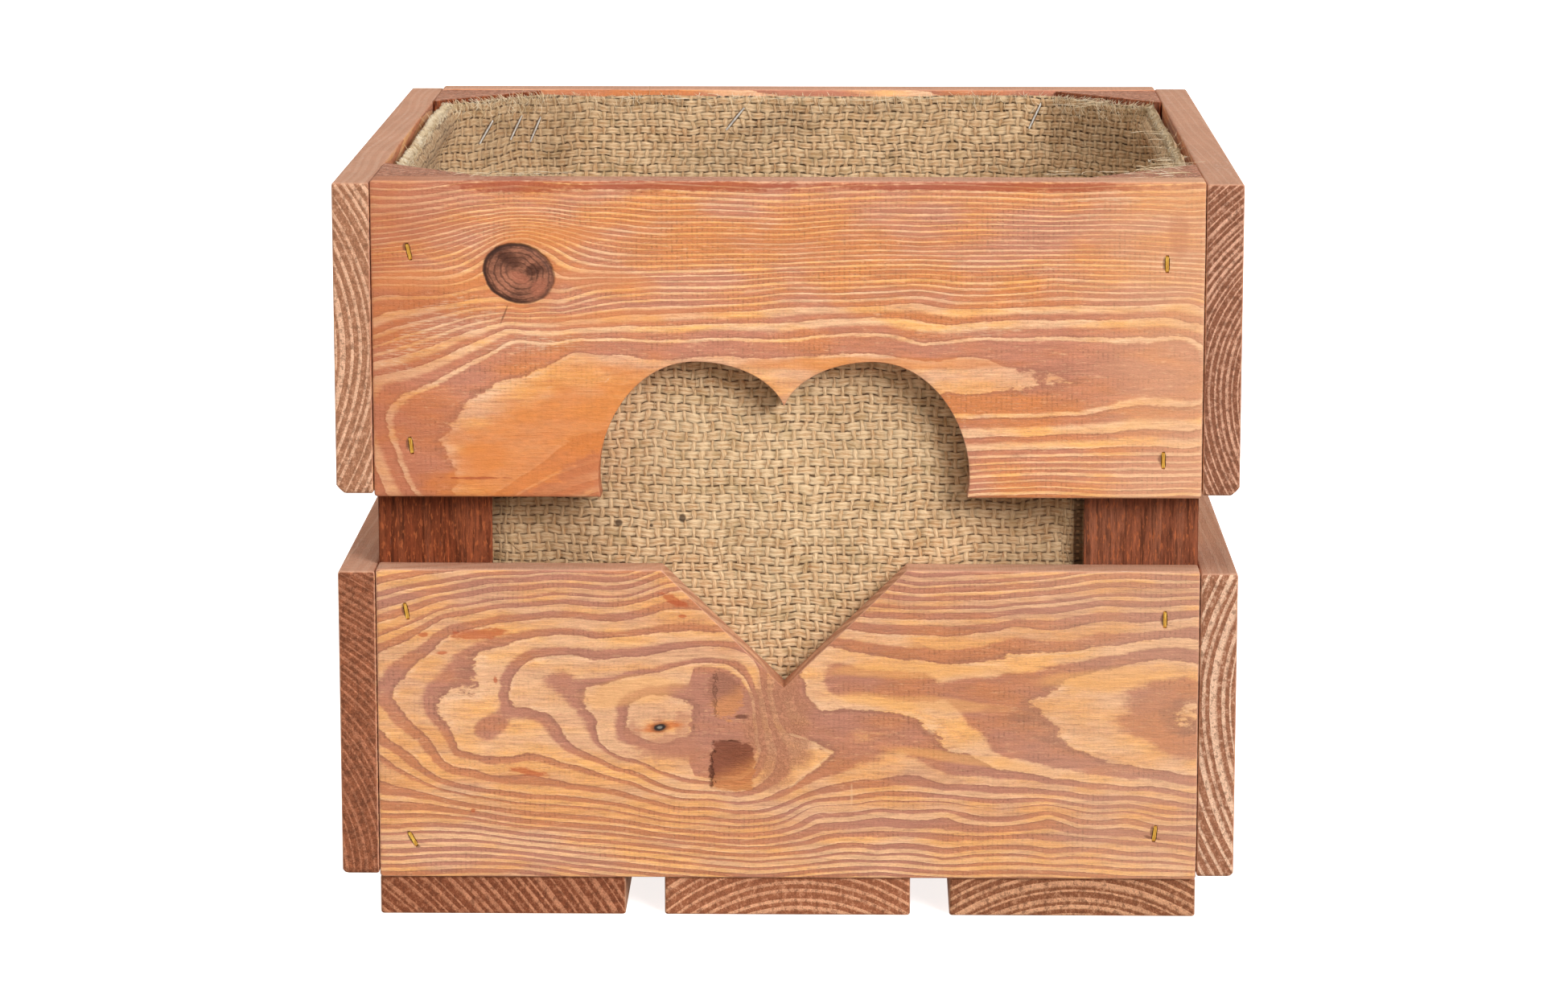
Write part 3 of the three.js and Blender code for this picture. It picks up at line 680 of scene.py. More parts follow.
def lining_marks(g, colour, side, rise, high, layers):
    """Marks on the lining: painted shade in the holes between the yarns and the weave's low parts, the seam
    with painted shade along it, the dirty specks, and painted shade on the front beside the heart, high in
    the back-left corner, beside the staples and in the folds near the rim.
    """
    wobble, float_luck, level_fibre = layers
    x, y, z = g.place()
    front = g.step(y, -112.0, -142.0)
    # Painted shade: the weave darkens where its yarns lie low, more on the back walls, and the holes between
    # the yarns are painted dark
    deep = g.step(high, -0.5, 1.1)
    colour = g.shade(colour, 0.5 + front * 0.1 + deep * (0.57 - front * 0.1))
    hole = g.step(high + wobble * 0.9 + float_luck * 0.5, -0.2, -0.9)
    colour = g.mix(hole * (0.95 - front * 0.1), colour, g.mix(front, paint(78, 52, 30), paint(98, 66, 40)))
    specks = THROUGH
    for place in LINING_SPECKS:
        specks = g.math("MINIMUM", specks, Spot(g, *place, wobble * 0.3).out)
    colour = g.mix(g.step(specks, 1.1, 0.6) * front * 0.8, colour, paint(62, 44, 34))
    # Painted shade on the front's cloth beyond the sides of the heart, in the gaps between the boards toward
    # the posts
    beside = g.step(g.math("ABSOLUTE", x + 1.3), 62.0, 84.0)
    colour = g.mix(beside * front * 0.36, colour, g.shade(paint(122, 86, 50), 1.0 + level_fibre * 0.5))
    # The dark band along the seam is painted shade of the recess beside the right post; the pale stitches are
    # the seam's own thread
    seam = g.math("ABSOLUTE", x - SEAM_X)
    colour = g.mix(g.step(seam, 2.0, 1.4) * front * 0.6, colour, paint(96, 66, 42))
    stitches = g.step(g.math("SINE", z * (2 * math.pi / STITCH)), 0.3, 0.7) * g.step(seam, 0.7, 0.4)
    colour = g.mix(stitches * front * 0.8, colour, paint(206, 166, 124))
    # Painted shade high on the left of the back and side walls, round the back-left corner
    corner = g.step(x + wobble * 6.0, -84.0, -114.0) * (1.0 - front) * g.step(rise, 200.0, 225.0)
    colour = g.mix(corner * 0.3, colour, g.shade(paint(132, 96, 62), 1.0 + level_fibre * 0.5))
    # Painted shadows on the back walls' cloth along each lining staple's crown
    for name in LINING_STAPLES:
        middle, half, lean = wire_line(name)
        wire_shadow = Spot(g, middle[0], middle[1], 0.95, half + 0.6, lean)
        colour = g.mix(g.step(wire_shadow.out, 1.1, 0.8) * (1.0 - front) * 0.75, colour, paint(84, 60, 40))
    # Painted shade of the folds near the rim, on the back and side walls
    fold = cloth_noise(g, side, rise, 34.0, 16.0, 21.0)
    rim_fold_shade = g.step(rise, RIM_SHADE_LOW, RIM_SHADE_HIGH)
    colour = g.shade(colour, 1.0 - rim_fold_shade * (1.0 - front) * (g.step(fold, -0.1, 0.35) * 0.18 + 0.03))
    return colour


def jute():
    """A plain weave of wide level yarns, of two strands each, across narrow upright ones."""
    settings = bpy.context.scene.crate_lining
    g = Graph("jute_weave")
    side, rise, _ = g.attribute_parts("cloth")
    drift = cloth_noise(g, side, rise, 26.0, 18.0)
    wobble = cloth_noise(g, side, rise, 5.0, 6.0, 7.0, 3.0)
    column = side / settings.across_pitch + drift * 0.9 + wobble * 0.26
    row_drift = cloth_noise(g, side, rise, 20.0, 30.0, 3.0)
    row = rise / settings.height_pitch + row_drift * 0.9 + wobble * 0.22
    column_number = g.math("FLOOR", column)
    row_number = g.math("FLOOR", row)
    u = column - column_number - 0.5
    v = row - row_number - 0.5

    column_luck = g.chance(column_number, 1.0, g.math("FLOOR", rise / 40.0))
    row_luck = g.chance(row_number, 2.0, g.math("FLOOR", side / 60.0))
    float_luck = g.chance(column_number, row_number, 5.0)
    thin_column = 0.44 + column_luck * 0.16 + g.noise(g.vector(column_number * 7.1, rise / 4.0, 0.0)) * 0.3
    thin_row = 0.96 + row_luck * 0.14 + g.noise(g.vector(side / 4.0, row_number * 5.3, 0.0), 3.0) * 0.34

    def yarn(offset, width, over, strands):
        """The height of a yarn of round strands, which falls away beside it, and the creases between its
        strands, which get painted shade.
        """
        ratio = offset * 2.0 / width
        round_top = g.math("SQRT", g.math("MAXIMUM", 1.0 - ratio * ratio, 0.0))
        ridges = g.math("ABSOLUTE", g.math("COSINE", (ratio * 0.5 + 0.5) * (math.pi * strands)))
        there = g.step(g.math("ABSOLUTE", ratio), 1.04, 0.8)
        return (round_top * 0.7 - ridges * 0.26 + over + 1.4) * there - 1.4, g.step(ridges, 0.6, 1.0)

    def sign(number):
        return g.math("PINGPONG", number, 1.0) * 2.0 - 1.0

    up_fibre = g.noise(g.vector(side / 0.5 + rise * 0.4, rise / 4.0, 0.0), 4.0, 0.7)
    level_fibre = g.noise(g.vector(side / 4.0, rise / 0.5 + side * 0.2, 0.0), 4.0, 0.7)
    up_over = sign(column_number) * g.math("SINE", row * math.pi)
    level_over = sign(row_number) * g.math("SINE", column * math.pi) * -1.0
    up_height, up_groove_shade = yarn(u + up_fibre * 0.06, thin_column, up_over * 0.75, 1.0)
    level_height, level_groove_shade = yarn(v + level_fibre * 0.08, thin_row, level_over * 0.5, 2.0)
    on_top = g.step(level_height - up_height, -0.04, 0.04)
    high = g.math("MAXIMUM", up_height, level_height)

    # Painted shade: the upright yarns are a little darker than the level ones, and the creases between a
    # yarn's strands darker still
    up_tone = column_luck * 0.2 + float_luck * 0.3 + up_fibre * 1.5 - up_groove_shade * 0.3 + 0.3
    level_tone = row_luck * 0.2 + float_luck * 0.4 + level_fibre * 1.5 - level_groove_shade * 0.42 + 0.46
    tone = up_tone + (level_tone - up_tone) * on_top
    colour = g.mix(tone, settings.tan, settings.pale)
    olive = g.step(cloth_noise(g, side, rise, 9.0, 7.0, 9.0, 3.0), 0.0, 0.5)
    colour = g.mix(olive * 0.45, colour, paint(160, 132, 84))
    reddish = g.step(cloth_noise(g, side, rise, 1.6, 4.0, 5.0, 3.0), 0.24, 0.55)
    colour = g.mix(reddish * 0.5, colour, paint(178, 112, 70))
    for lean, away in ((1.0, 31.0), (-1.0, 47.0), (0.3, 59.0)):
        wisp = g.noise(g.vector((side + rise * lean) / 7.0, (rise - side * lean) / 0.8, away), 3.0, 0.6)
        colour = g.mix(g.step(wisp, 0.24, 0.5) * 0.5, colour, paint(236, 208, 166))
        colour = g.mix(g.step(wisp, -0.3, -0.55) * 0.4, colour, paint(166, 118, 74))
    colour = lining_marks(g, colour, side, rise, high, (wobble, float_luck, level_fibre))
    height = high * 0.42 + (up_fibre + (level_fibre - up_fibre) * on_top) * 0.2
    return g.finish(colour, 0.9, height, Specular_IOR_Level=0.15, Sheen_Weight=0.1, Sheen_Roughness=0.5)


def fibre_material(name, dark, pale):
    """Loose jute fibres, darker along some of them."""
    g = Graph(name)
    x, y, z = g.place()
    tone = g.noise(g.vector(x / 6.0, y / 6.0, z / 6.0), 2.0)
    colour = g.mix(g.step(tone, -0.4, 0.5), dark, pale)
    colour = g.shade(colour, 1.0 + g.noise(g.vector(x / 0.7, y / 0.7, z / 0.7), 2.0) * 0.2)
    return g.finish(colour, 0.8, None, Specular_IOR_Level=0.25)


def wire(name, bright, dull, roughness):
    """Drawn wire: bright metal with duller streaks and a few pits."""
    g = Graph(name)
    x, y, z = g.place()
    streak = g.noise(g.vector(x / 0.5, y / 0.5, z / 3.0), 3.0)
    pits = g.noise(g.vector(x / 0.3, y / 0.3, z / 0.3), 2.0)
    colour = g.mix(g.step(streak, -0.3, 0.5), dull, bright)
    colour = g.shade(colour, 1.0 + pits * 0.25)
    return g.finish(colour, roughness + streak * 0.12, pits * 0.03 + streak * 0.02, Metallic=0.3)


def floor_material(shade, glow):
    """White paper on a table that is lit from below."""
    g = Graph("floor_paper")
    x, y, _ = g.place()
    grain = g.noise(g.vector(x / 60.0, y / 60.0, 0.0), 3.0)
    g.shader.inputs["Emission Color"].default_value = (1, 1, 1, 1)
    g.shader.inputs["Emission Strength"].default_value = glow
    return g.finish(g.shade(shade, 1.0 + grain * 0.004), 0.9, None, Specular_IOR_Level=0.1)


# Outlines

def arc_corner(before, corner, after, radius, step):
    """Points round a corner of a polygon, on an arc of that radius."""
    to_before = (before - corner) / np.linalg.norm(before - corner)
    to_after = (after - corner) / np.linalg.norm(after - corner)
    half = math.acos(np.clip(np.dot(to_before, to_after), -1, 1)) / 2
    if radius <= 0 or half > math.pi / 2 - 0.02:
        return [corner]
    reach = radius / math.tan(half)
    middle = to_before + to_after
    centre = corner + middle / np.linalg.norm(middle) * radius / math.sin(half)
    start = corner + to_before * reach - centre
    end = corner + to_after * reach - centre
    first = math.atan2(start[1], start[0])
    turn = (math.atan2(end[1], end[0]) - first + math.pi) % (2 * math.pi) - math.pi
    count = max(2, int(abs(turn) * radius / step) + 1)
    angles = [first + turn * i / count for i in range(count + 1)]
    return [centre + radius * np.array((math.cos(a), math.sin(a))) for a in angles]


def outline(corners, step):
    """A closed outline through (u, v, radius) corners, with points no more than step apart."""
    points = [np.array(corner[:2], float) for corner in corners]
    turned = []
    for i, corner in enumerate(corners):
        turned += arc_corner(points[i - 1], points[i], points[(i + 1) % len(points)], corner[2], step)
    closed = []
    for here, there in zip(turned, turned[1:] + turned[:1]):
        count = max(1, math.ceil(np.linalg.norm(there - here) / step))
        closed += [here + (there - here) * i / count for i in range(count)]
    return np.array(closed)


def rectangle(low, high, radius, step):
    """A rectangle with worn corners."""
    corners = [(low[0], low[1]), (high[0], low[1]), (high[0], high[1]), (low[0], high[1])]
    return outline([(*corner, radius) for corner in corners], step)


def bezier(points, count):
    """Points on a cubic curve, without its last one."""
    a, b, c, d = [np.array(point, float) for point in points]
    made = []
    for i in range(count):
        t = i / count
        made.append(a * (1 - t) ** 3 + b * 3 * t * (1 - t) ** 2 + c * 3 * t * t * (1 - t) + d * t ** 3)
    return made


def mitres(points):
    """For each point of an outline, the way in and how much further a corner point moves."""
    ahead = np.roll(points, -1, 0) - points
    ahead /= np.linalg.norm(ahead, axis=1)[:, None]
    behind = np.roll(ahead, 1, 0)
    left_ahead = np.stack((-ahead[:, 1], ahead[:, 0]), 1)
    left_behind = np.stack((-behind[:, 1], behind[:, 0]), 1)
    way = left_ahead + left_behind
    way /= np.maximum(np.linalg.norm(way, axis=1)[:, None], 1e-9)
    stretch = 1 / np.maximum((way * left_ahead).sum(1), 0.5)
    return way * stretch[:, None]


def inside(points, polygon):
    """Which points lie inside a polygon."""
    x = points[:, 0][:, None]
    y = points[:, 1][:, None]
    ax, ay = polygon[:, 0], polygon[:, 1]
    bx, by = np.roll(ax, -1), np.roll(ay, -1)
    spans = (ay > y) != (by > y)
    rise = np.where(by == ay, 1e-9, by - ay)
    crosses = spans & (x < (bx - ax) * (y - ay) / rise + ax)
    return crosses.sum(1) % 2 == 1


# Soft noise for shapes

def value_noise(a, b, seed):
    """Smooth noise between about -2 and 2, the same on every run."""
    lattice = np.random.default_rng(seed).standard_normal((97, 89))
    i, j = np.floor(a).astype(int), np.floor(b).astype(int)
    s, t = a - i, b - j
    s, t = s * s * (3 - 2 * s), t * t * (3 - 2 * t)
    low = lattice[i % 97, j % 89] * (1 - s) + lattice[(i + 1) % 97, j % 89] * s
    high = lattice[i % 97, (j + 1) % 89] * (1 - s) + lattice[(i + 1) % 97, (j + 1) % 89] * s
    return low * (1 - t) + high * t


def hump(x, z, at_x, at_z, wide, tall, tilt=0.0):
    """A smooth hill of height 1."""
    turn = math.radians(tilt)
    u = ((x - at_x) * math.cos(turn) + (z - at_z) * math.sin(turn)) / wide
    v = ((z - at_z) * math.cos(turn) - (x - at_x) * math.sin(turn)) / tall
    return np.exp(-u * u - v * v)


# Growth rings

# Each ring of the two front boards as (its number, points on its outer edge as (x, z)).
UPPER_RINGS = (
    (16, ((-155, 276), (-120, 279), (-100, 280.5), (-50, 279), (50, 279), (150, 279))),
    (15, ((-155, 270), (-130, 273), (-100, 276.3), (-50, 274), (0, 273.3), (100, 274), (150, 274))),
    (13, ((-155, 262), (-130, 266), (-110, 269.8), (-95, 270.8), (-80, 269), (-50, 266.5), (0, 266),
        (100, 267.5), (150, 267))),
    (11, ((-155, 255.5), (-140, 257), (-130, 259), (-120, 262), (-110, 265), (-100, 266.6), (-90, 266),
        (-80, 264), (-65, 261), (-50, 259.5), (0, 259.8), (50, 260.5), (100, 261.5), (150, 260))),
    (9, ((-155, 250), (-140, 251), (-130, 251.5), (-120, 254.5), (-112, 259), (-106, 262), (-98, 263),
        (-88, 260), (-78, 255), (-65, 252.5), (-50, 252.5), (0, 253.3), (50, 255), (100, 255), (150, 254))),
    (8, ((-155, 247), (-125, 247.5), (-66, 249), (-50, 249), (0, 250.8), (50, 252), (150, 251))),
    (7, ((-155, 240), (-140, 240.5), (-125, 241.5), (-75, 244.5), (-50, 246), (0, 248), (100, 249),
        (150, 247.5))),
    (6, ((-155, 227), (-140, 231.5), (-125, 235), (-113, 237), (-100, 235.8), (-85, 236.5), (-70, 241),
        (-50, 242.8), (0, 244.3), (50, 245.5), (100, 246), (150, 244.5))),
    (5, ((-155, 220), (-140, 225), (-125, 229.5), (-110, 232.5), (-90, 233.5), (-70, 236), (-50, 238),
        (0, 240.5), (50, 242), (150, 241.5))),
    (4, ((-155, 215), (-140, 219), (-120, 226.5), (-105, 230.5), (-80, 231), (-50, 233), (-20, 234.5),
        (0, 236.2), (50, 237.5), (150, 238))),
    (3, ((-155, 209.5), (-140, 213), (-130, 216.5), (-118, 222), (-105, 227.5), (-80, 227.8),
        (-50, 228.5), (0, 229.5), (60, 229.5), (100, 231), (150, 230))),
    (2, ((-151, 195), (-148, 200), (-140, 204.5), (-130, 209.5), (-120, 214.5), (-110, 219.5),
        (-100, 223.5), (-80, 223.5), (-50, 223.2), (0, 223.7), (50, 222.8), (100, 225.3), (150, 225))),
    (1, ((-131, 184), (-127, 192), (-120, 200), (-108, 207), (-97, 211), (-88, 214.5), (-80, 219),
        (-60, 218), (-30, 217.5), (0, 217.3), (50, 215.8), (80, 214.5), (92, 213), (100, 211.5),
        (107, 208), (103, 206), (95, 205), (85, 203.5), (70, 203), (60, 203.5))),
    (1, ((-129, 178), (-126, 171), (-127, 163), (-112, 163), (-104, 168), (-95, 174), (-88, 179.5),
        (-80, 185), (-70, 187.5), (-58, 189))),
    (0.4, ((-22, 211), (0, 211), (25, 212), (50, 211), (70, 208.8))),
    (0.25, ((0, 203), (15, 203), (35, 207), (-10, 205))),
    (0.12, ((0, 198.5),)),
    (0.6, ((-95, 195), (-70, 205), (-115, 175), (-60, 200))),
    (2, ((-150, 188), (-148, 180), (-146, 174), (-143, 168), (-140, 163))),
    (1.35, ((-137, 175), (-140, 190))),
    (3, ((-155, 174), (-153, 168), (-150, 163))),
    (2, ((-102, 163.5), (-90, 170), (-80, 174), (-70, 176.5), (-58, 179))),
    (3, ((-92, 163), (-80, 167.3), (-70, 170), (-58, 173))),
    (4, ((-80, 162.5), (-70, 165.5))),
    (2, ((55, 193), (65, 193.3), (80, 193.8), (100, 194.5), (115, 195.8), (125, 198), (140, 199.2),
        (156, 199.5))),
    (3, ((68, 186), (85, 186.5), (100, 187.7), (120, 188.2), (150, 188.8))),
    (4, ((68, 181), (100, 181.8), (150, 182.3))),
    (6, ((70, 172), (100, 173.5), (150, 173))),
    (8, ((70, 164.5), (100, 165.5), (150, 165))),
)
LOWER_RINGS = (
    (-1.6, ((-48.5, 74),)),
    (-1, ((-62, 77), (-60, 83), (-52, 87), (-43, 86), (-37, 80), (-37, 72), (-44, 69), (-56, 70))),
    (-0.7, ((-28, 88), (-22, 62), (-24, 75), (-32, 64), (-45, 63), (-66, 74), (-32, 92), (-44, 91))),
    (0, ((-80, 85), (-76, 80), (-72.5, 76), (-72, 70), (-69, 65), (-62, 61.5), (-50, 57.5), (-40, 54),
        (-30, 52.5), (-18, 53), (-12, 58), (-10, 66), (-11, 75), (-12, 85), (-15, 93), (-22, 98.5),
        (-30, 100), (-40, 98.5), (-50, 95.5), (-60, 94), (-72, 91.5))),
    (0.3, ((-93, 91), (-86, 97), (-86, 85), (-80, 93), (-70, 94))),
    (1, ((-60, 101.8), (-75, 101), (-90, 101.5), (-97, 101), (-101, 98), (-105, 93), (-106, 88),
        (-105, 83), (-100, 81.3), (-90, 78.5), (-86.5, 74), (-84, 69), (-80, 65.5), (-70, 61.5),
        (-60, 58), (-50, 53), (-30, 49.5), (-16, 49.5), (-8, 54), (-4, 62), (-6, 72), (-8, 82), (-10, 90),
        (-14, 102), (-20, 105), (-30, 106), (-40, 104.8), (-50, 103))),
    (1.25, ((-117, 74), (-113, 77), (-109, 74), (-113, 70.5))),
    (1.7, ((-122, 75), (-113, 82), (-103, 74), (-113, 66), (-112, 90))),
    (2, ((-60, 109.5), (-85, 110), (-100, 108.5), (-107, 105.5), (-115, 104), (-120, 100), (-120.5, 95),
        (-125, 91), (-130, 88), (-133, 84), (-133.5, 79), (-130, 76), (-127, 71), (-125, 64),
        (-115, 61.5), (-103, 62.5), (-90, 62), (-80, 59), (-70, 55.5), (-50, 49), (-30, 46.5), (-10, 46),
        (0, 50), (8, 56), (14, 61), (17, 64), (13, 67), (8, 69.5), (0, 72), (-4, 79), (-6, 87))),
    (2, ((-50, 111), (-40, 112), (-30, 111.5))),
    (2, ((14, 106), (20, 105), (30, 103.7), (45, 101), (60, 99.5), (75, 100.3), (90, 103), (110, 104.5),
        (125, 107), (155, 109))),
    (2, ((8, 86), (12, 81), (20, 81), (30, 81), (38, 80), (45, 79), (50, 76.5), (54, 72.5), (60, 67),
        (61, 64.5), (70, 61.5), (80, 58), (100, 54.8), (115, 52.8), (130, 51), (155, 49))),
    (2.4, ((25, 70), (45, 66), (8, 76))),
    (1.75, ((30, 84), (60, 80), (72, 68), (30, 100), (60, 96))),
    (1.15, ((22, 91), (36, 91), (50, 91), (66, 88), (75, 85), (80, 76), (84, 70))),
    (1, ((91, 80), (94, 86), (100, 91), (110, 95.5), (120, 98), (130, 99.5), (155, 100.5))),
    (1, ((97, 75.5), (100, 73), (108, 66), (115, 63.5), (130, 60), (140, 58), (155, 55.8))),
    (0.4, ((128, 82), (131, 90), (140, 94), (131, 72), (142, 66))),
    (0, ((149, 81), (156, 85), (156, 77.5))),
    (3, ((-35, 120.5), (-50, 119), (-60, 116.5), (-85, 117), (-100, 115.7), (-110, 115), (-120, 112.5),
        (-127, 110), (-133, 107), (-135, 103), (-141, 98), (-146, 93), (-150, 89), (-149, 83), (-142, 75),
        (-137, 70), (-132, 62), (-120, 57.5), (-100, 55.5), (-80, 51.5), (-50, 45), (-30, 43), (-10, 42),
        (10, 49.5), (20, 52), (35, 53.5), (60, 52), (100, 50), (130, 48), (155, 44.5))),
    (4, ((-45, 127), (-60, 121.8), (-85, 122.5), (-110, 120.5), (-130, 116.5), (-142, 109.5), (-156, 103))),
    (4, ((-156, 73), (-149, 67), (-142, 62), (-133, 54), (-120, 50.5), (-100, 47.8), (-80, 47), (-50, 41),
        (-30, 39), (-10, 38.5), (10, 46), (35, 49), (60, 48.3), (100, 46.8), (130, 44.8), (155, 41.5))),
    (5, ((-60, 126.5), (-85, 127), (-100, 125.5), (-120, 123), (-138, 118), (-156, 111.5))),
    (5, ((-156, 59), (-147, 54), (-135, 49.5), (-120, 45.8), (-100, 43), (-80, 41.5), (-50, 37),
        (-30, 35), (-10, 35), (10, 42), (35, 44.5), (60, 44), (100, 43), (155, 38.8))),
    (6, ((-60, 131), (-85, 131), (-115, 129), (-130, 126), (-156, 119))),
    (6, ((-156, 46), (-120, 41.5), (-100, 38.5), (-80, 37), (-50, 33.3), (-30, 31.3), (-10, 31),
        (10, 36.5), (35, 39.8), (60, 39.7), (100, 39.5), (130, 36), (155, 32.5))),
    (7, ((-60, 135), (-100, 134.5), (-140, 130), (-156, 126))),
    (7, ((-156, 38.5), (-120, 37.5), (-80, 32.5), (-50, 29.8), (-30, 27.5), (-10, 26.5), (10, 29),
        (35, 31.5), (60, 30), (100, 30.5), (130, 28.5), (155, 26.5))),
    (8, ((-156, 33), (-100, 30.5), (-30, 23.5), (-10, 22.5), (10, 24), (35, 25), (60, 23.8), (100, 24),
        (155, 21.5))),
    (10, ((-156, 24), (-100, 23.5), (-50, 17.8), (-30, 16), (10, 17), (35, 18.5), (60, 16.8), (100, 17),
        (155, 15))),
    (12, ((-156, 15.5), (-100, 16.5))),
    (3, ((25, 112.5), (35, 111), (50, 110.5), (72, 111.5), (85, 113.8), (112, 114.6), (120, 116.3),
        (155, 118.5))),
    (4, ((27, 117.5), (50, 117), (80, 117.5), (100, 119), (140, 121.8), (155, 122.3))),
    (5, ((35, 123), (60, 122), (100, 124.5), (155, 127.5))),
    (7, ((50, 130.5), (80, 132), (100, 133.5), (155, 135.5))),
)
PLATE_GIVE = 8.0


def ring_map(rings):
    """The ring number at any place, as a thin plate bent through the given points of some rings."""
    points = np.array([point for _, line in rings for point in line], float)
    numbers = np.array([number for number, line in rings for _ in line], float)
    count = len(points)

    def pull(some):
        away = ((some[:, None, :] - points[None, :, :]) ** 2).sum(2)
        return 0.5 * away * np.log(np.maximum(away, 1e-9))

    def level(some):
        return np.column_stack((np.ones(len(some)), some))

    system = np.zeros((count + 3, count + 3))
    system[:count, :count] = pull(points) + np.eye(count) * PLATE_GIVE
    system[:count, count:] = level(points)
    system[count:, :count] = level(points).T
    weights = np.linalg.solve(system, np.concatenate((numbers, np.zeros(3))))

    def read(x, z):
        some = np.column_stack((x, z))
        return pull(some) @ weights[:count] + level(some) @ weights[count:]
    return read


def upper_front_rings(x, z, depth):
    """The upper front board: one long pale flame under fine level lines, bent round a knot."""
    number = ring_map(UPPER_RINGS)(x, z)
    share = 0.42 + 0.2 * (number < 1) - 0.1 * ((number > 1) & (number < 2)) - 0.06 * (number > 4)
    fine = np.maximum(number - 4, 0) * 0.7
    return number + fine + depth * 0.1, share


def lower_front_rings(x, z, depth):
    """The lower front board: closed rings at the left, a torn knot, and two pointed flames at the right."""
    number = ring_map(LOWER_RINGS)(x, z)
    share = 0.5 + 0.1 * ((number < 5) & (x < -20)) + 0.35 * hump(x, z, 45, 42.5, 70, 3.5)
    share = np.where((number < 0) & (x > -36), 0.2, share)
    fine = np.maximum(number - 4, 0) * 0.45
    return number + fine + depth * 0.1, share


def rings_round(pith_u, pith_v, pitch, lean=0.0, pale=0.4, seed=1):
    """Rings of a piece that runs along w, round a pith at (u, v). lean tilts the pith along the piece."""
    def read(u, v, w):
        away = np.hypot(u - pith_u, v - pith_v - w * lean)
        number = away / pitch + 0.35 * value_noise(w / 70 + 9, v / 45 + 9, seed)
        return number, pale + 0 * number
    return read


# Board meshes

# The kind of result to ask of the triangulation, and how near two points may lie before they become one
INSIDE_TRIANGLES = 1
SAME_POINT = 1e-4
PIT_DEPTH = 1.55
# How far behind a staple's front its crown still reaches
PIT_BAND = 1.2
# The slot round a staple's crown, as (how far outside the crown, how deep)
PIT_RINGS = ((1.3, 0.03), (0.32, 0.16), (0.16, PIT_DEPTH), (-0.35, PIT_DEPTH))


def staple_pit(node, face_axis, face_sign, plane_axes):
    """A staple's crown on a face: its middle and its two half sizes as vectors, in the face's plane."""
    points = node_points(node)
    outward = points[:, face_axis] * face_sign
    crown = points[outward > outward.max() - PIT_BAND][:, plane_axes]
    centred = crown - (crown.max(0) + crown.min(0)) / 2
    long_way = np.linalg.svd(centred)[2][0]
    cross_way = np.array((-long_way[1], long_way[0]))
    half_long = np.abs(centred @ long_way).max()
    half_cross = np.abs(centred @ cross_way).max()
    return (crown.max(0) + crown.min(0)) / 2, long_way * half_long, cross_way * half_cross


def board_pits(board, face_axis, face_sign, plane_axes):
    """The crowns of a board's four staples."""
    return [
        staple_pit(f"{board}_{end}_{height}_staple", face_axis, face_sign, plane_axes)
        for end in ("left", "right") for height in ("top", "bottom")
    ]


def pit_ring(pit, grow):
    """Eight points round a staple's crown, that much outside it."""
    middle, long_half, cross_half = pit
    long_half = long_half * (1 + grow / np.linalg.norm(long_half))
    cross_half = cross_half * (1 + grow / np.linalg.norm(cross_half))
    ways = ((1, -0.6), (1, 0.6), (0.5, 1), (-0.5, 1), (-1, 0.6), (-1, -0.6), (-0.5, -1), (0.5, -1))
    return [middle + long_half * a + cross_half * b for a, b in ways]


def fill_face(ring, step, pits, relief):
    """Points and triangles of a board's face inside its ring, with a slot for each staple.

    Gives the points, how deep each lies, the triangles and, for each ring point, the point that it became.
    """
    low, high = ring.min(0), ring.max(0)
    us = np.arange(low[0] + step / 2, high[0], step)
    vs = np.arange(low[1] + step / 2, high[1], step)
    grid = np.stack(np.meshgrid(us, vs), -1).reshape(-1, 2)
    grid = grid[inside(grid, ring)]
    gap = np.array([np.min(np.abs(ring - point).max(1)) for point in grid])
    grid = grid[gap > step * 0.55]
    points = [tuple(point) for point in ring]
    depths = [0.0] * len(points)
    edges = [(i, (i + 1) % len(points)) for i in range(len(points))]
    for pit in pits:
        reach = np.abs(grid - pit[0]).max(1)
        grid = grid[reach > np.abs(pit[1] + pit[2]).max() + 1.6]
        for grow, depth in PIT_RINGS:
            first = len(points)
            made = pit_ring(pit, grow)
            points += [tuple(point) for point in made]
            depths += [depth] * len(made)
            edges += [(first + i, first + (i + 1) % len(made)) for i in range(len(made))]
    points += [tuple(point) for point in grid]
    depths += [0.0] * len(grid)
    flat, _, triangles, origins, _, _ = geometry.delaunay_2d_cdt(
        [Vector(point) for point in points], edges, [], INSIDE_TRIANGLES, SAME_POINT
    )
    became = {}
    depth = np.zeros(len(flat))
    for made, sources in enumerate(origins):
        for source in sources:
            became[source] = made
            depth[made] = max(depth[made], depths[source])
    flat = np.array([tuple(point) for point in flat])
    if relief:
        depth = depth + relief(flat[:, 0], flat[:, 1])
    return flat, depth, triangles, [became[i] for i in range(len(ring))]


def band_faces(rows, count):
    """The four-sided faces between closed rows of count points each."""
    faces = []
    for row in range(rows - 1):
        a = row * count
        b = a + count
        faces += [(a + i, a + (i + 1) % count, b + (i + 1) % count, b + i) for i in range(count)]
    return faces


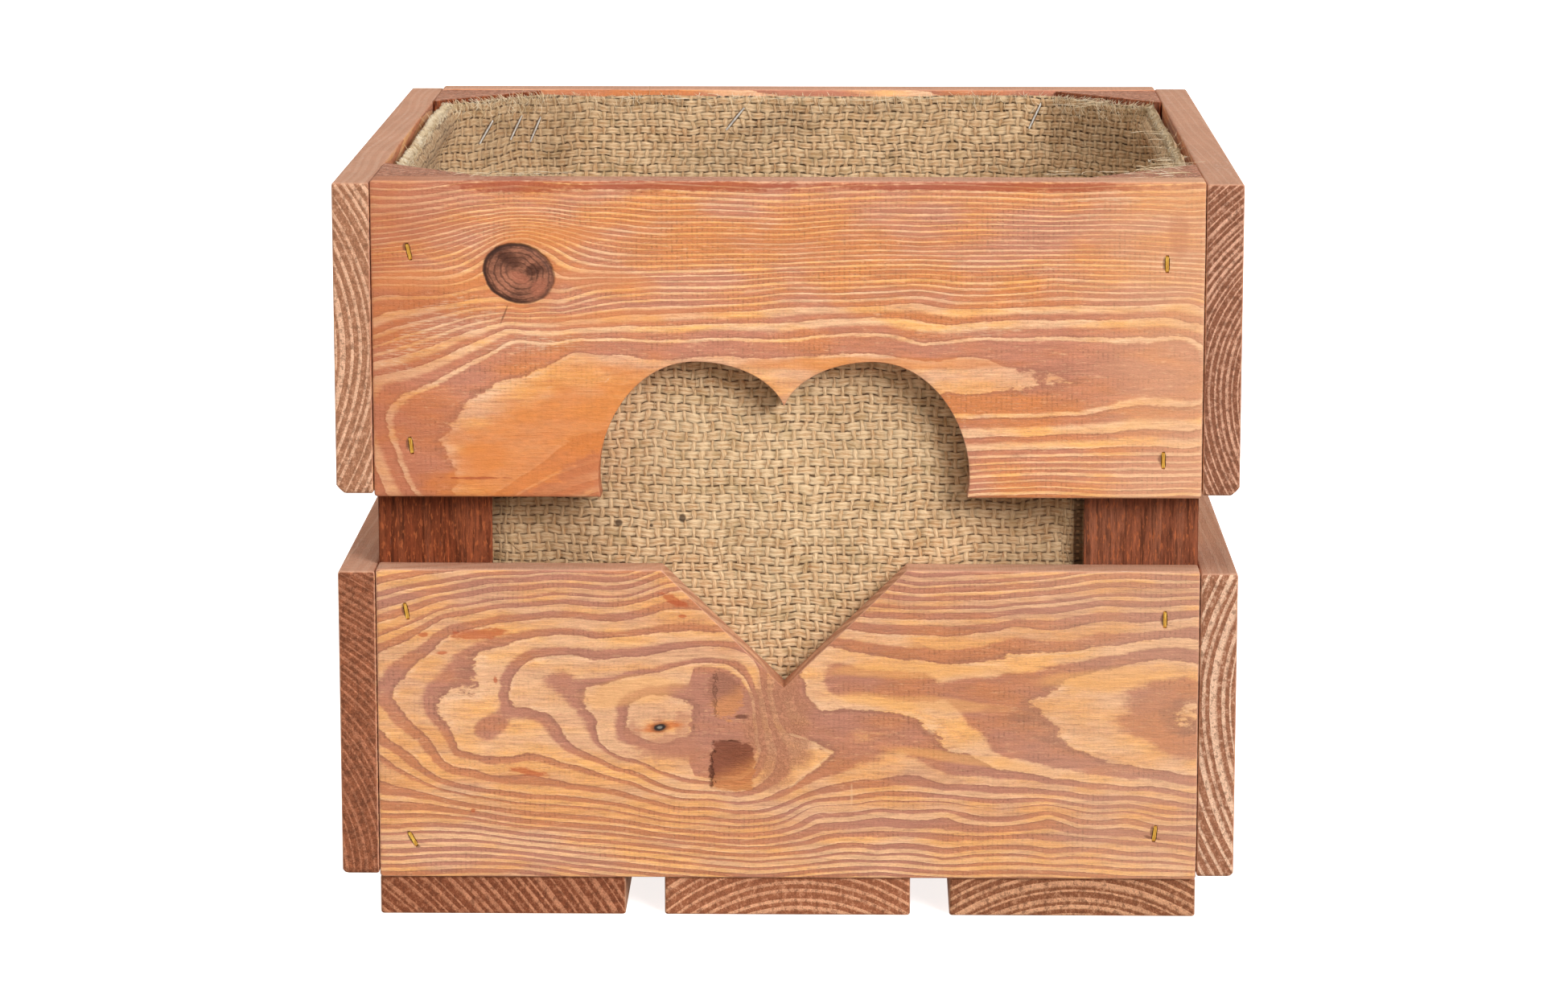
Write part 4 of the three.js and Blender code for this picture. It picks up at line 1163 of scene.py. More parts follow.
def plank(name, edge, thickness, place, rounding, rings, **options):
    """A sawn piece: a face of any outline, worn edges and walls, and a plain back.

    edge is its outline in the face's plane, place turns (u, v, depth) into (x, y, z), rounding gives the worn
    radius at each outline point, and rings gives the ring number and its pale share at (u, v, depth).
    """
    pits = options.get("pits", ())
    back_pits = options.get("back_pits", ())
    step = options.get("step", bpy.context.scene.crate_wood.mesh_step)
    row_step = options.get("row_step", 2.0)
    area = np.sum(edge[:, 0] * np.roll(edge[:, 1], -1) - edge[:, 1] * np.roll(edge[:, 0], -1))
    if area < 0:
        edge = edge[::-1]
    way = mitres(edge)
    radius = rounding(edge[:, 0], edge[:, 1]) if callable(rounding) else np.full(len(edge), rounding)
    curve = [math.radians(angle) for angle in (0, 30, 60, 90)]
    levels = [(1 - math.sin(a), 1 - math.cos(a), 0.0, math.sin(2 * a)) for a in curve]
    rows = max(1, round((thickness - 2 * radius.max()) / row_step))
    levels += [(0.0, 1.0, i / rows, 0.0) for i in range(1, rows + 1)]
    levels += [(1 - math.sin(a), -(1 - math.cos(a)), 1.0, math.sin(2 * a)) for a in curve[-2::-1]]

    places = []
    arris = []
    wall = []
    for inset, sink, down, worn in levels:
        flat = edge + way * (radius * inset)[:, None]
        if sink >= 0 and down < 1:
            depth = radius * sink + (thickness - 2 * radius) * down
        else:
            depth = thickness - radius * abs(sink)
        places.append(np.column_stack((flat, depth)))
        arris.append(np.full(len(edge), worn))
        wall.append(np.full(len(edge), 1.0 if inset < 0.2 else 0.0))
    count = len(edge)
    faces = band_faces(len(levels), count)

    total = count * len(levels)
    for level, face_step, holes, relief, top in (
        (0, step, pits, options.get("relief"), True),
        (len(levels) - 1, options.get("back_step", 6.0), back_pits, None, False),
    ):
        ring = places[level][:, :2]
        flat, depth, triangles, became = fill_face(ring, face_step, holes, relief)
        numbers = {made: level * count + i for i, made in enumerate(became)}
        extra = [i for i in range(len(flat)) if i not in numbers]
        for order, made in enumerate(extra):
            numbers[made] = total + order
        total += len(extra)
        depth = depth if top else thickness - depth
        places.append(np.column_stack((flat[extra], depth[extra])))
        arris.append(np.zeros(len(extra)))
        wall.append(np.zeros(len(extra)))
        faces += [tuple(numbers[corner] for corner in triangle) for triangle in triangles]

    local = np.concatenate(places)
    number, late = rings(local[:, 0], local[:, 1], local[:, 2])
    if "shape" in options:
        local = options["shape"](local)
    return wood_piece(name, place(local) * MM, faces, {
        "growth": number, "late": late, "arris": np.concatenate(arris), "wall": np.concatenate(wall),
    })


def wood_piece(name, points, faces, attributes):
    """A mesh object that holds these values at its points."""
    mesh = bpy.data.meshes.new(name)
    mesh.from_pydata(points.tolist(), [], faces)
    for key, values in attributes.items():
        mesh.attributes.new(key, "FLOAT", "POINT").data.foreach_set("value", np.asarray(values, np.float32))
    tidy_normals(mesh)
    return add_object(name, mesh)


def tidy_normals(mesh, sharp=50):
    """Turns every face outwards and shades the worn edges smooth."""
    work = bmesh.new()
    work.from_mesh(mesh)
    bmesh.ops.recalc_face_normals(work, faces=work.faces)
    work.to_mesh(mesh)
    work.free()
    mesh.shade_smooth()
    mesh.set_sharp_from_angle(angle=math.radians(sharp))


def dress(made, node, material):
    """Lets a finished piece stand for its node, with its material."""
    made.data.materials.append(material)
    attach(made, "root")
    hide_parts(node)
    return made


# Front and back boards

HEART_MIDDLE = -1.3
MOUTH_HALF = 69.0
LOBE_RISE = 51.7
LOBE_TOP_X = 33.3
LOBE_OUTER_X = 70.0
CLEFT_RISE = 34.7
SHOULDER_BULGE = 3.5
SHOULDER_HEIGHT = 0.38
OUTER_FULLNESS = 0.72
INNER_FULLNESS = 0.46
CLEFT_FLARE = 0.12
CLEFT_STEEPNESS = 0.6
POINT_HALF = 46.5
POINT_DEPTH = 45.5


def heart_top(low):
    """The left lobe, the cleft and the right lobe, from the mouth's left corner to its right one."""
    top = low + LOBE_RISE
    cleft = low + CLEFT_RISE
    crown = LOBE_TOP_X + OUTER_FULLNESS * (LOBE_OUTER_X - LOBE_TOP_X)
    outer = bezier([
        (-MOUTH_HALF, low),
        (-MOUTH_HALF - (SHOULDER_BULGE + LOBE_OUTER_X - MOUTH_HALF), low + SHOULDER_HEIGHT * LOBE_RISE),
        (-crown, top),
        (-LOBE_TOP_X, top),
    ], 44)
    inner = bezier([
        (-LOBE_TOP_X, top),
        (-LOBE_TOP_X * (1 - INNER_FULLNESS), top),
        (-LOBE_TOP_X * CLEFT_FLARE, cleft + CLEFT_STEEPNESS * (top - cleft)),
        (0, cleft),
    ], 26)
    left = outer + inner
    right = [point * np.array((-1, 1)) for point in reversed(left)]
    return [point + np.array((HEART_MIDDLE, 0)) for point in left + [np.array((0, cleft))] + right]


def cross_board_outline(low, high, cut, step):
    """A front or back board's outline. cut is "lobes", "point" or None."""
    left, right = low[0], high[0]
    bottom, top = low[2], high[2]
    corner = 1.0
    path = [(left, bottom, corner)]
    if cut == "lobes":
        path += [(point[0], point[1], 0) for point in heart_top(bottom)]
    path += [(right, bottom, corner), (right, top, corner)]
    if cut == "point":
        path += [
            (HEART_MIDDLE + POINT_HALF, top, 0.6), (HEART_MIDDLE, top - POINT_DEPTH, 0),
            (HEART_MIDDLE - POINT_HALF, top, 0.6),
        ]
    path += [(left, top, corner)]
    return outline(path, step)


def make_cross_board(tier, wall, rings, material, cut=None, relief=None):
    """A front or back board."""
    settings = bpy.context.scene.crate_wood
    node = f"{tier}_{wall}_board"
    low, high = node_box(node)
    front = wall == "front"
    face = low[1] if front else high[1]
    inward = 1 if front else -1
    pits = board_pits(f"{tier}_{wall}", 1, -inward, [0, 2])

    def place(local):
        return np.column_stack((local[:, 0], face + inward * local[:, 2], local[:, 1]))

    def rounding(u, v):
        at_edge = (v > high[2] - 0.5) | (u < low[0] + 0.5) | (u > high[0] - 0.5)
        worn = settings.rounding * (1.0 + 0.35 * value_noise(u / 17 + 40, v / 17 + 40, 5))
        return np.clip(np.where(at_edge, worn, settings.rounding * 0.5), 0.25, 1.0)

    edge = cross_board_outline(low, high, cut, settings.mesh_step * 0.8)
    made = plank(f"{node}_wood", edge, high[1] - low[1], place, rounding, rings, pits=pits, relief=relief)
    return dress(made, node, material)


def lower_front_relief(u, v):
    """The hollows where wood tore out beside the knot."""
    return 1.3 * hump(u, v, -23, 61, 5.5, 7, -10) + 0.6 * hump(u, v, -23, 87, 4.5, 6, 10)


CROSS_ENDS = (paint(158, 106, 76), paint(228, 182, 150))


def upper_look():
    """The upper boards: warm orange brown with thin pale lines."""
    sawn = tuple(bpy.context.scene.crate_wood.sawn)
    return WoodLook(
        paint(196, 130, 104), paint(208, 130, 78), paint(248, 200, 156), paint(248, 184, 110),
        sawn, *CROSS_ENDS,
    )


def lower_look():
    """The lower boards: mauve brown bands between pale ones."""
    settings = bpy.context.scene.crate_wood
    return WoodLook(
        tuple(settings.early), paint(192, 124, 84), tuple(settings.late), paint(238, 176, 108),
        tuple(settings.sawn), *CROSS_ENDS, soft=0.055,
    )


# Side boards, posts and slats

LOW_EDGE_RADIUS = {"upper": 3.2, "lower": 1.6}
CORNER_RADIUS = 1.2
POST_RADIUS = 0.7
POST_ARRIS = 1.0


def make_side_board(tier, side, rings, material):
    """A side board, whose ends show at the front and the back. Its outer lower edge is worn round."""
    settings = bpy.context.scene.crate_wood
    node = f"{tier}_{side}_board"
    low, high = node_box(node)
    outer, inward = (low[0], 1) if side == "left" else (high[0], -1)
    pits = board_pits(f"{tier}_{side}", 0, -inward, [1, 2])
    round_low = LOW_EDGE_RADIUS[tier]

    def place(local):
        return np.column_stack((outer + inward * local[:, 2], local[:, 0], local[:, 1]))

    def shape(local):
        """Rounds the outer lower edge."""
        u, v, w = local.T.copy()
        above = np.clip(v - low[2], 0, round_low)
        beyond = np.clip(w, 0, round_low)
        w_in = (round_low - np.sqrt(round_low ** 2 - (round_low - above) ** 2)) * (w < round_low)
        v_up = (round_low - np.sqrt(round_low ** 2 - (round_low - beyond) ** 2)) * (v < low[2] + round_low)
        fade = np.clip(1 - w / round_low, 0, 1)
        rise = np.clip(1 - (v - low[2]) / round_low, 0, 1)
        return np.column_stack((u, v + v_up * rise, w + w_in * fade))

    def read(u, v, w):
        x = outer + inward * w
        return rings(x, v, u)

    edge = rectangle((low[1], low[2]), (high[1], high[2]), CORNER_RADIUS, settings.mesh_step * 0.9)
    made = plank(
        f"{node}_wood", edge, high[0] - low[0], place, settings.rounding, read,
        pits=pits, step=settings.mesh_step * 1.3, row_step=1.6, shape=shape,
    )
    return dress(made, node, material)


def make_post(end, side, rings, material):
    """A corner post: square timber ripped along its diagonal."""
    settings = bpy.context.scene.crate_wood
    node = f"{end}_{side}_post"
    low, high = node_box(node)
    sx = -1 if side == "left" else 1
    sy = -1 if end == "front" else 1
    outer = (low[0] if sx < 0 else high[0], low[1] if sy < 0 else high[1])
    inner = (high[0] if sx < 0 else low[0], high[1] if sy < 0 else low[1])
    corners = [
        (outer[0], outer[1], CORNER_RADIUS),
        (inner[0], outer[1], POST_ARRIS),
        (outer[0], inner[1], POST_ARRIS),
    ]

    def place(local):
        return np.column_stack((local[:, 0], local[:, 1], high[2] - local[:, 2]))

    edge = outline(corners, settings.mesh_step * 0.8)
    made = plank(
        f"{node}_wood", edge, high[2] - low[2], place, POST_RADIUS, rings,
        step=settings.mesh_step, row_step=5.0,
    )
    return dress(made, node, material)


def make_slat(number, rings, material):
    """A floor slat, whose ends show at the front and the back."""
    settings = bpy.context.scene.crate_wood
    node = f"floor_slat_{number}"
    low, high = node_box(node)
    pits = [staple_pit(f"{node}_{end}_staple", 2, -1, [0, 1]) for end in ("front", "back")]

    def place(local):
        return np.column_stack((local[:, 0], local[:, 1], low[2] + local[:, 2]))

    def read(u, v, w):
        return rings(u, low[2] + w, v)

    edge = rectangle((low[0], low[1]), (high[0], high[1]), CORNER_RADIUS, settings.mesh_step * 0.9)
    made = plank(
        f"{node}_wood", edge, high[2] - low[2], place, settings.rounding, read,
        pits=pits, step=settings.mesh_step * 1.6, row_step=1.5, back_step=4.0,
    )
    return dress(made, node, material)


# Lining

CLOTH_STEP = 3.0
CLOTH_CORNER = 13.0
CLOTH_FLOOR_CORNER = 11.0
CLOTH_INSET = 1.0
FOOT_LIFT = 0.8
RIM_LIFT = 0.6
RIM_BAND = 34
STAPLE_HOLD = 13
FRONT_WALL_Y = -150
ROLL_DEPTH = 6.5
ROLL_START_X = 146
FLOOR_RINGS = 40


def cloth_path():
    """The lining's centre line seen from above, which follows the walls and the posts' slanted faces."""
    _, high = node_box("jute_lining")
    points = node_points("jute_lining")
    half_x, half_y = high[0] - CLOTH_INSET, high[1] - CLOTH_INSET
    reach = np.abs(points[:, 0] + points[:, 1]).max() - CLOTH_INSET * math.sqrt(2)
    corners = []
    for sx, sy in ((1, -1), (1, 1), (-1, 1), (-1, -1)):
        on_side = (sx * half_x, sy * (reach - half_x), CLOTH_CORNER)
        on_front = (sx * (reach - half_y), sy * half_y, CLOTH_CORNER)
        corners += [on_front, on_side] if sx * sy < 0 else [on_side, on_front]
    return outline(corners, CLOTH_STEP)


def cloth_sag(s, x, y, z, rim, staples):
    """How far the cloth hangs in from the walls, and how far its rim dips, at each place round and up it."""
    high = np.clip((z - (rim - RIM_BAND)) / RIM_BAND, 0, 1)
    high = high * high * (3 - 2 * high)
    held = np.zeros_like(s)
    for place in staples:
        away = np.hypot(np.hypot(x - place[0], y - place[1]), z - place[2])
        held = np.maximum(held, np.exp(-(away / STAPLE_HOLD) ** 2))
    sag = 1.1 * value_noise(s / 55, z / 60, 11) + 0.5 * value_noise(s / 17, z / 34, 12) + 0.7
    sag = sag * (1 - 0.75 * high) + high * 0.3
    recess = hump(x, z, -96, 148, 26, 30) + hump(x, z, 96, 148, 26, 30)
    bulge = hump(x, z, HEART_MIDDLE, 158, 40, 30)
    front = y < FRONT_WALL_Y
    roll = np.clip((np.abs(x) - ROLL_START_X) / 8, 0, 1) * np.exp(-((z - (rim - 8)) / 7) ** 2)
    sag = np.maximum(sag, 0.0) * (1 - held) + front * (recess * 7.0 - bulge * 3.0) + roll * ROLL_DEPTH
    dip = high * (0.5 + 0.45 * value_noise(s / 26 + 5, 0 * z, 14)) * (1 - 0.5 * held)
    return sag, dip


def spread_weave(mesh, s, heights):
    """Gives each face corner its place on the flat cloth: round and up walls, across and along the floor."""
    count = len(s)
    vertices = np.array([corner.vertex_index for corner in mesh.loops])
    starts = np.array([face.loop_start for face in mesh.polygons])
    sizes = np.array([face.loop_total for face in mesh.polygons])
    rows = vertices // count
    columns = vertices % count
    lowest = np.repeat(np.maximum.reduceat(rows, starts), sizes)
    spans = np.maximum.reduceat(columns, starts) - np.minimum.reduceat(columns, starts)
    columns = np.where((np.repeat(spans, sizes) > 1) & (columns == 0), count, columns)
    around = np.append(s, 2 * s[-1] - s[-2])
    on_wall = lowest < len(heights)
    heights = np.append(heights, 0)
    walls = np.column_stack((around[columns], heights[np.minimum(rows, len(heights) - 1)], 0 * rows))
    floor = np.array([vertex.co for vertex in mesh.vertices])[vertices] / MM
    places = np.where(on_wall[:, None], walls, floor)
    spread = mesh.attributes.new("cloth", "FLOAT_VECTOR", "CORNER")
    spread.data.foreach_set("vector", places.astype(np.float32).ravel())


def make_lining(material):
    """The jute bag: walls, a rounded foot and a floor, as one sheet with some thickness."""
    settings = bpy.context.scene.crate_lining
    low, high = node_box("jute_lining")
    path = cloth_path()
    count = len(path)
    way = mitres(path)
    way /= np.linalg.norm(way, axis=1)[:, None]
    steps = np.linalg.norm(np.roll(path, -1, 0) - path, axis=1)
    s = np.concatenate(([0], np.cumsum(steps)[:-1]))
    staples = [(node_box(name)[0] + node_box(name)[1]) / 2 for name in LINING_STAPLES]
    foot = low[2] + FOOT_LIFT
    rim = high[2] + RIM_LIFT
    heights = list(np.arange(rim, foot + CLOTH_FLOOR_CORNER, -CLOTH_STEP))

    points = []
    for z in heights:
        sag, dip = cloth_sag(s, path[:, 0], path[:, 1], np.full(count, z), rim, staples)
        flat = path + way * sag[:, None]
        points.append(np.column_stack((flat, z - dip)))
    last_sag = cloth_sag(s, path[:, 0], path[:, 1], np.full(count, heights[-1]), rim, staples)[0]
    for angle in (20, 40, 60, 80):
        turn = math.radians(angle)
        inset = CLOTH_FLOOR_CORNER * (1 - math.cos(turn))
        z = foot + CLOTH_FLOOR_CORNER * (1 - math.sin(turn))
        flat = path + way * (inset + last_sag * math.cos(turn))[:, None]
        points.append(np.column_stack((flat, np.full(count, z))))
        heights.append(z)
    base = path + way * CLOTH_FLOOR_CORNER
    for share in np.linspace(1.0, 0.04, FLOOR_RINGS):
        flat = base * share
        z = foot + 0.5 * np.abs(value_noise(flat[:, 0] / 30, flat[:, 1] / 30, 15)) * (1 - share ** 8)
        points.append(np.column_stack((flat, z)))
    faces = band_faces(len(points), count)
    last = (len(points) - 1) * count
    middle = len(points) * count
    faces += [(last + i, last + (i + 1) % count, middle) for i in range(count)]
    points.append(np.array([[0, 0, foot]]))

    mesh = bpy.data.meshes.new("jute_bag")
    mesh.from_pydata((np.concatenate(points) * MM).tolist(), [], faces)
    tidy_normals(mesh, 80)
    spread_weave(mesh, s, heights)
    made = add_object("jute_bag", mesh)
    thick = made.modifiers.new("thickness", "SOLIDIFY")
    thick.thickness = settings.thickness * MM
    thick.offset = 0
    dress(made, "jute_lining", material)
    return made, np.array(points[:len(heights) - 4])


# Loose fibres

FIBRE_LENGTHS = (2.5, 9.0)
FIBRE_WIDTHS = (0.05, 0.11)
FIBRE_LIFTS = (0.1, 0.5)
CLOTH_HALF = 0.75
FRINGE_LENGTHS = (2.5, 7.0)
FRINGE_WIDTHS = (0.06, 0.12)
STRAY_WIDTHS = (0.07, 0.12)
STRAY_STEP = 1.5


def strand(points, width):
    """Vertices and faces of a thin three-sided fibre along a list of points, pointed at its ends."""
    made = []
    for i, point in enumerate(points):
        ahead = points[min(i + 1, len(points) - 1)] - points[max(i - 1, 0)]
        ahead = ahead / (np.linalg.norm(ahead) + 1e-9)
        side = np.cross(ahead, (0.31, 0.52, 0.79))
        side /= np.linalg.norm(side) + 1e-9
        other = np.cross(ahead, side)
        size = width * (0.35 if i in (0, len(points) - 1) else 1.0)
        for k in range(3):
            angle = k * 2 * math.pi / 3
            made.append(point + size * (math.cos(angle) * side + math.sin(angle) * other))
    faces = [(0, 1, 2), tuple(3 * (len(points) - 1) + k for k in (2, 1, 0))]
    for i in range(len(points) - 1):
        for k in range(3):
            a = 3 * i + k
            b = 3 * i + (k + 1) % 3
            faces.append((a, b, b + 3, a + 3))
    return made, faces


def strands_object(name, strands, material):
    """One piece made of many fibres. strands is a list of (points, width)."""
    vertices = []
    faces = []
    for points, width in strands:
        made, sides = strand(points, width)
        faces += [tuple(corner + len(vertices) for corner in side) for side in sides]
        vertices += made
    mesh = bpy.data.meshes.new(name)
    mesh.from_pydata((np.array(vertices) * MM).tolist(), [], faces)
    mesh.materials.append(material)
    mesh.shade_smooth()
    made = add_object(name, mesh)
    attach(made, "root")
    return made


def cloth_fibres(walls, count, seed):
    """Fibres that lie on both sides of the lining and stand a little off it."""
    chance = random.Random(seed)
    rows, columns = walls.shape[:2]
    made = []
    for _ in range(count):
        row = int(chance.uniform(0, rows - 2))
        column = chance.randrange(columns)
        here = walls[row, column]
        round_way = walls[row, (column + 1) % columns] - here
        down_way = walls[row + 1, column] - here
        outward = np.cross(round_way, down_way)
        outward /= np.linalg.norm(outward) + 1e-9
        radial = np.array((here[0], here[1], 0)) / np.hypot(here[0], here[1])
        if np.dot(outward, radial) < 0:
            outward = -outward
        facing = outward if chance.random() < 0.5 else -outward
        heading = chance.uniform(0, 2 * math.pi)
        round_unit = round_way / np.linalg.norm(round_way)
        down_unit = down_way / np.linalg.norm(down_way)
        travel = math.cos(heading) * round_unit + math.sin(heading) * down_unit
        bend = math.cos(heading + 1.5) * round_unit + math.sin(heading + 1.5) * down_unit
        length = chance.uniform(*FIBRE_LENGTHS)
        curl = chance.uniform(-0.5, 0.5) * length
        lift = chance.uniform(*FIBRE_LIFTS)
        base = here + facing * CLOTH_HALF
        points = []
        for i in range(5):
            t = i / 4
            rise = facing * lift * math.sin(math.pi * t)
            points.append(base + travel * length * t + bend * curl * t * t + rise)
        made.append((points, chance.uniform(*FIBRE_WIDTHS)))
    return made


def rim_fringe(walls, count, seed):
    """Short threads that stand along the cut rim, thickest on the two side walls."""
    chance = random.Random(seed)
    columns = walls.shape[1]
    made = []
    while len(made) < count:
        column = chance.randrange(columns)
        rim = walls[0, column]
        beside = abs(rim[0]) > FRINGE_SIDE or (abs(rim[0]) > FRINGE_CORNER and chance.random() < 0.5)
        if not beside and chance.random() > 0.12:
            continue
        radial = np.array((rim[0], rim[1], 0)) / np.hypot(rim[0], rim[1])
        if abs(rim[0]) > FRINGE_SIDE:
            radial = np.array((np.sign(rim[0]), 0, 0))
        onward = walls[0, (column + 1) % columns] - rim
        onward = onward / np.linalg.norm(onward)
        deep = chance.uniform(0, 12) * chance.uniform(0.2, 1)
        bulge = chance.uniform(0.8, 3.4) * (1.0 if beside else 0.5)
        slant = chance.uniform(-3.0, 3.0)
        length = chance.uniform(*FRINGE_LENGTHS)
        start = rim - np.array((0, 0, deep)) - radial * 0.8 + onward * chance.uniform(-1.5, 1.5)
        up = min(length, deep + chance.uniform(0.4, 2.4))
        points = []
        for i in range(5):
            t = i / 4
            out = radial * bulge * (4 * t * (1 - t) * 0.8 + 0.2 * (1 - t))
            points.append(start + np.array((0, 0, up * t)) - out + onward * slant * t)
        made.append((points, chance.uniform(*FRINGE_WIDTHS)))
    return made


# Where long fibres lie over the rim, as (x, y, z, how far along x and y they reach)
STRAY_PLACES = (
    (-112, -148, 281.6, 40, 12), (144, -134, 283.5, 18, 40), (-60, 150, 280.0, 60, 8),
    (126, 128, 280.5, 16, 24), (20, 150, 280.0, 90, 8), (-104, -150, 283.2, 40, 8),
    (120, -143, 283.0, 50, 20), (151, -60, 280.6, 6, 150),
)


def stray_fibres(count, seed):
    """A few long curly fibres that lie over the rim."""
    chance = random.Random(seed)
    made = []
    for number in range(count):
        x, y, z, reach_x, reach_y = STRAY_PLACES[number % len(STRAY_PLACES)]
        here = np.array((
            x + chance.uniform(-0.5, 0.5) * reach_x, y + chance.uniform(-0.5, 0.5) * reach_y,
            z + chance.uniform(-0.8, 0.6),
        ))
        heading = chance.uniform(0, 2 * math.pi)
        curl = chance.uniform(-0.35, 0.35)
        climb = chance.uniform(0.0, 0.25)
        points = [here]
        steps = chance.randint(6, 11)
        for i in range(steps):
            heading += curl + chance.uniform(-0.25, 0.25)
            lift = climb * (1 - 2 * i / steps)
            here = here + STRAY_STEP * np.array((math.cos(heading), math.sin(heading) * 0.6, lift))
            points.append(here)
        made.append((points, chance.uniform(*STRAY_WIDTHS)))
    return made


# Stage, whose lengths are in metres and whose angles are in degrees

FLOOR_REACH = 14.0
WARM_WHITE = (1.0, 0.92, 0.84, 1.0)
KEY_ANGLE = 26
KEY_TOWARD = (-0.52, 0.74, -0.42)
TOP_STRENGTH = 0.85
TOP_ANGLE = 40
TOP_TOWARD = (0.5, 0.25, -0.85)
CAMERA_PLACE = (0.0268, -2.0058, 0.5104)
CAMERA_PITCH = 79.342
CAMERA_TURN = 0.876
CAMERA_LENS_MM = 113.8
CAMERA_SENSOR_MM = 36


def make_floor(shade, glow):
    """The floor, whose light doesn't fall back on the crate."""
    mesh = bpy.data.meshes.new("floor")
    ways = ((-1, -1), (1, -1), (1, 1), (-1, 1))
    corners = [(side * FLOOR_REACH, end * FLOOR_REACH, 0) for side, end in ways]
    mesh.from_pydata(corners, [], [(0, 1, 2, 3)])
    mesh.materials.append(floor_material(shade, glow))
    made = add_object("floor", mesh)
    made.visible_diffuse = False
    made.visible_glossy = False


def make_light(name, strength, angle, toward):
    """A broad, even light from far away, that shines along toward."""
    lamp = bpy.data.lights.new(name, "SUN")
    lamp.energy = strength
    lamp.angle = math.radians(angle)
    add_object(name, lamp).rotation_euler = Vector(toward).to_track_quat("-Z", "Y").to_euler()


def make_camera():
    camera = bpy.data.cameras.new("camera")
    camera.lens = CAMERA_LENS_MM
    camera.sensor_width = CAMERA_SENSOR_MM
    made = add_object("camera", camera)
    made.location = CAMERA_PLACE
    made.rotation_euler = (math.radians(CAMERA_PITCH), 0, math.radians(CAMERA_TURN))
    bpy.context.scene.camera = made


# Operators

WIRE_ROUNDING = 0.18


class CRATE_OT_front_boards(bpy.types.Operator):
    """Make the two front boards with the heart between them."""

    bl_idname = "crate.front_boards"
    bl_label = "Front boards"

    def execute(self, context):
        upper = wood("upper_front_pine", "x", 1.0, upper_look(), upper_front_marks)
        lower = wood("lower_front_pine", "x", 2.0, lower_look(), lower_front_marks)
        make_cross_board("upper", "front", upper_front_rings, upper, "lobes")
        make_cross_board("lower", "front", lower_front_rings, lower, "point", lower_front_relief)
        return {"FINISHED"}


class CRATE_OT_back_boards(bpy.types.Operator):
    """Make the two back boards."""

    bl_idname = "crate.back_boards"
    bl_label = "Back boards"

    def execute(self, context):
        upper = ("upper", 3.0, 240.0, upper_look())
        lower = ("lower", 4.0, 60.0, lower_look())
        for tier, seed, pith, look in (upper, lower):
            def read(u, v, depth, pith=pith, seed=seed):
                return rings_round(pith, 190.0, 4.5, 0.03, 0.45, int(seed))(v, depth, u)
            material = wood(f"{tier}_back_pine", "x", seed, look)
            make_cross_board(tier, "back", read, material)
        return {"FINISHED"}


class CRATE_OT_side_boards(bpy.types.Operator):
    """Make the four side boards, whose end grain shows at the front."""

    bl_idname = "crate.side_boards"
    bl_label = "Side boards"

    def execute(self, context):
        ends = (
            ("upper", "left", (-256.0, 221.6, 3.0, 0.02), paint(176, 120, 88), paint(244, 194, 160), 1.2),
            ("upper", "right", (228.0, 207.0, 2.2, 0.03), paint(148, 92, 66), paint(236, 182, 152), 1.0),
            ("lower", "left", (-230.0, 20.0, 2.6, 0.02), paint(140, 80, 52), paint(186, 122, 90), 3.4),
            ("lower", "right", (274.0, 89.0, 3.5, 0.03), paint(166, 108, 78), paint(248, 204, 172), 1.2),
        )
        settings = context.scene.crate_wood
        for order, (tier, side, (x, z, pitch, lean), dark, pale, mottle) in enumerate(ends):
            look = WoodLook(
                tuple(settings.early), paint(205, 130, 92), tuple(settings.late), paint(238, 176, 116),
                tuple(settings.sawn), dark, pale, uneven=0.5, mottle=mottle,
            )
            material = wood(f"{tier}_{side}_pine", "y", 5.0 + order, look)
            make_side_board(tier, side, rings_round(x, z, pitch, lean, 0.4, 20 + order), material)
        return {"FINISHED"}


class CRATE_OT_posts(bpy.types.Operator):
    """Make the four triangular corner posts."""

    bl_idname = "crate.posts"
    bl_label = "Corner posts"

    def execute(self, context):
        settings = context.scene.crate_wood
        marks = {
            "ripple": 0.2, "uneven": 0.9, "gloss": 0.1, "streak": 1.5, "walls": 0.1, "ridge": 0.0,
            "thread": 3.2, "crust": 0.9,
        }
        ends = (paint(192, 134, 110), paint(226, 180, 156))
        left = WoodLook(
            tuple(settings.post), paint(122, 60, 34), paint(138, 72, 42), paint(134, 68, 38),
            paint(132, 76, 50), *ends, **marks,
        )
        right = WoodLook(
            paint(126, 70, 48), paint(132, 74, 50), paint(148, 90, 64), paint(144, 84, 58),
            paint(142, 88, 62), *ends, **marks,
        )
        order = 0
        for end, sy in (("front", -1), ("back", 1)):
            for side, sx in (("left", -1), ("right", 1)):
                look = left if sx < 0 else right
                material = wood(f"{end}_{side}_post_pine", "z", 10.0 + order, look, post_marks)
                rings = rings_round(sx * 120.0, sy * 95.0, 3.0, 0.01, 0.35, 30 + order)
                make_post(end, side, rings, material)
                order += 1
        return {"FINISHED"}


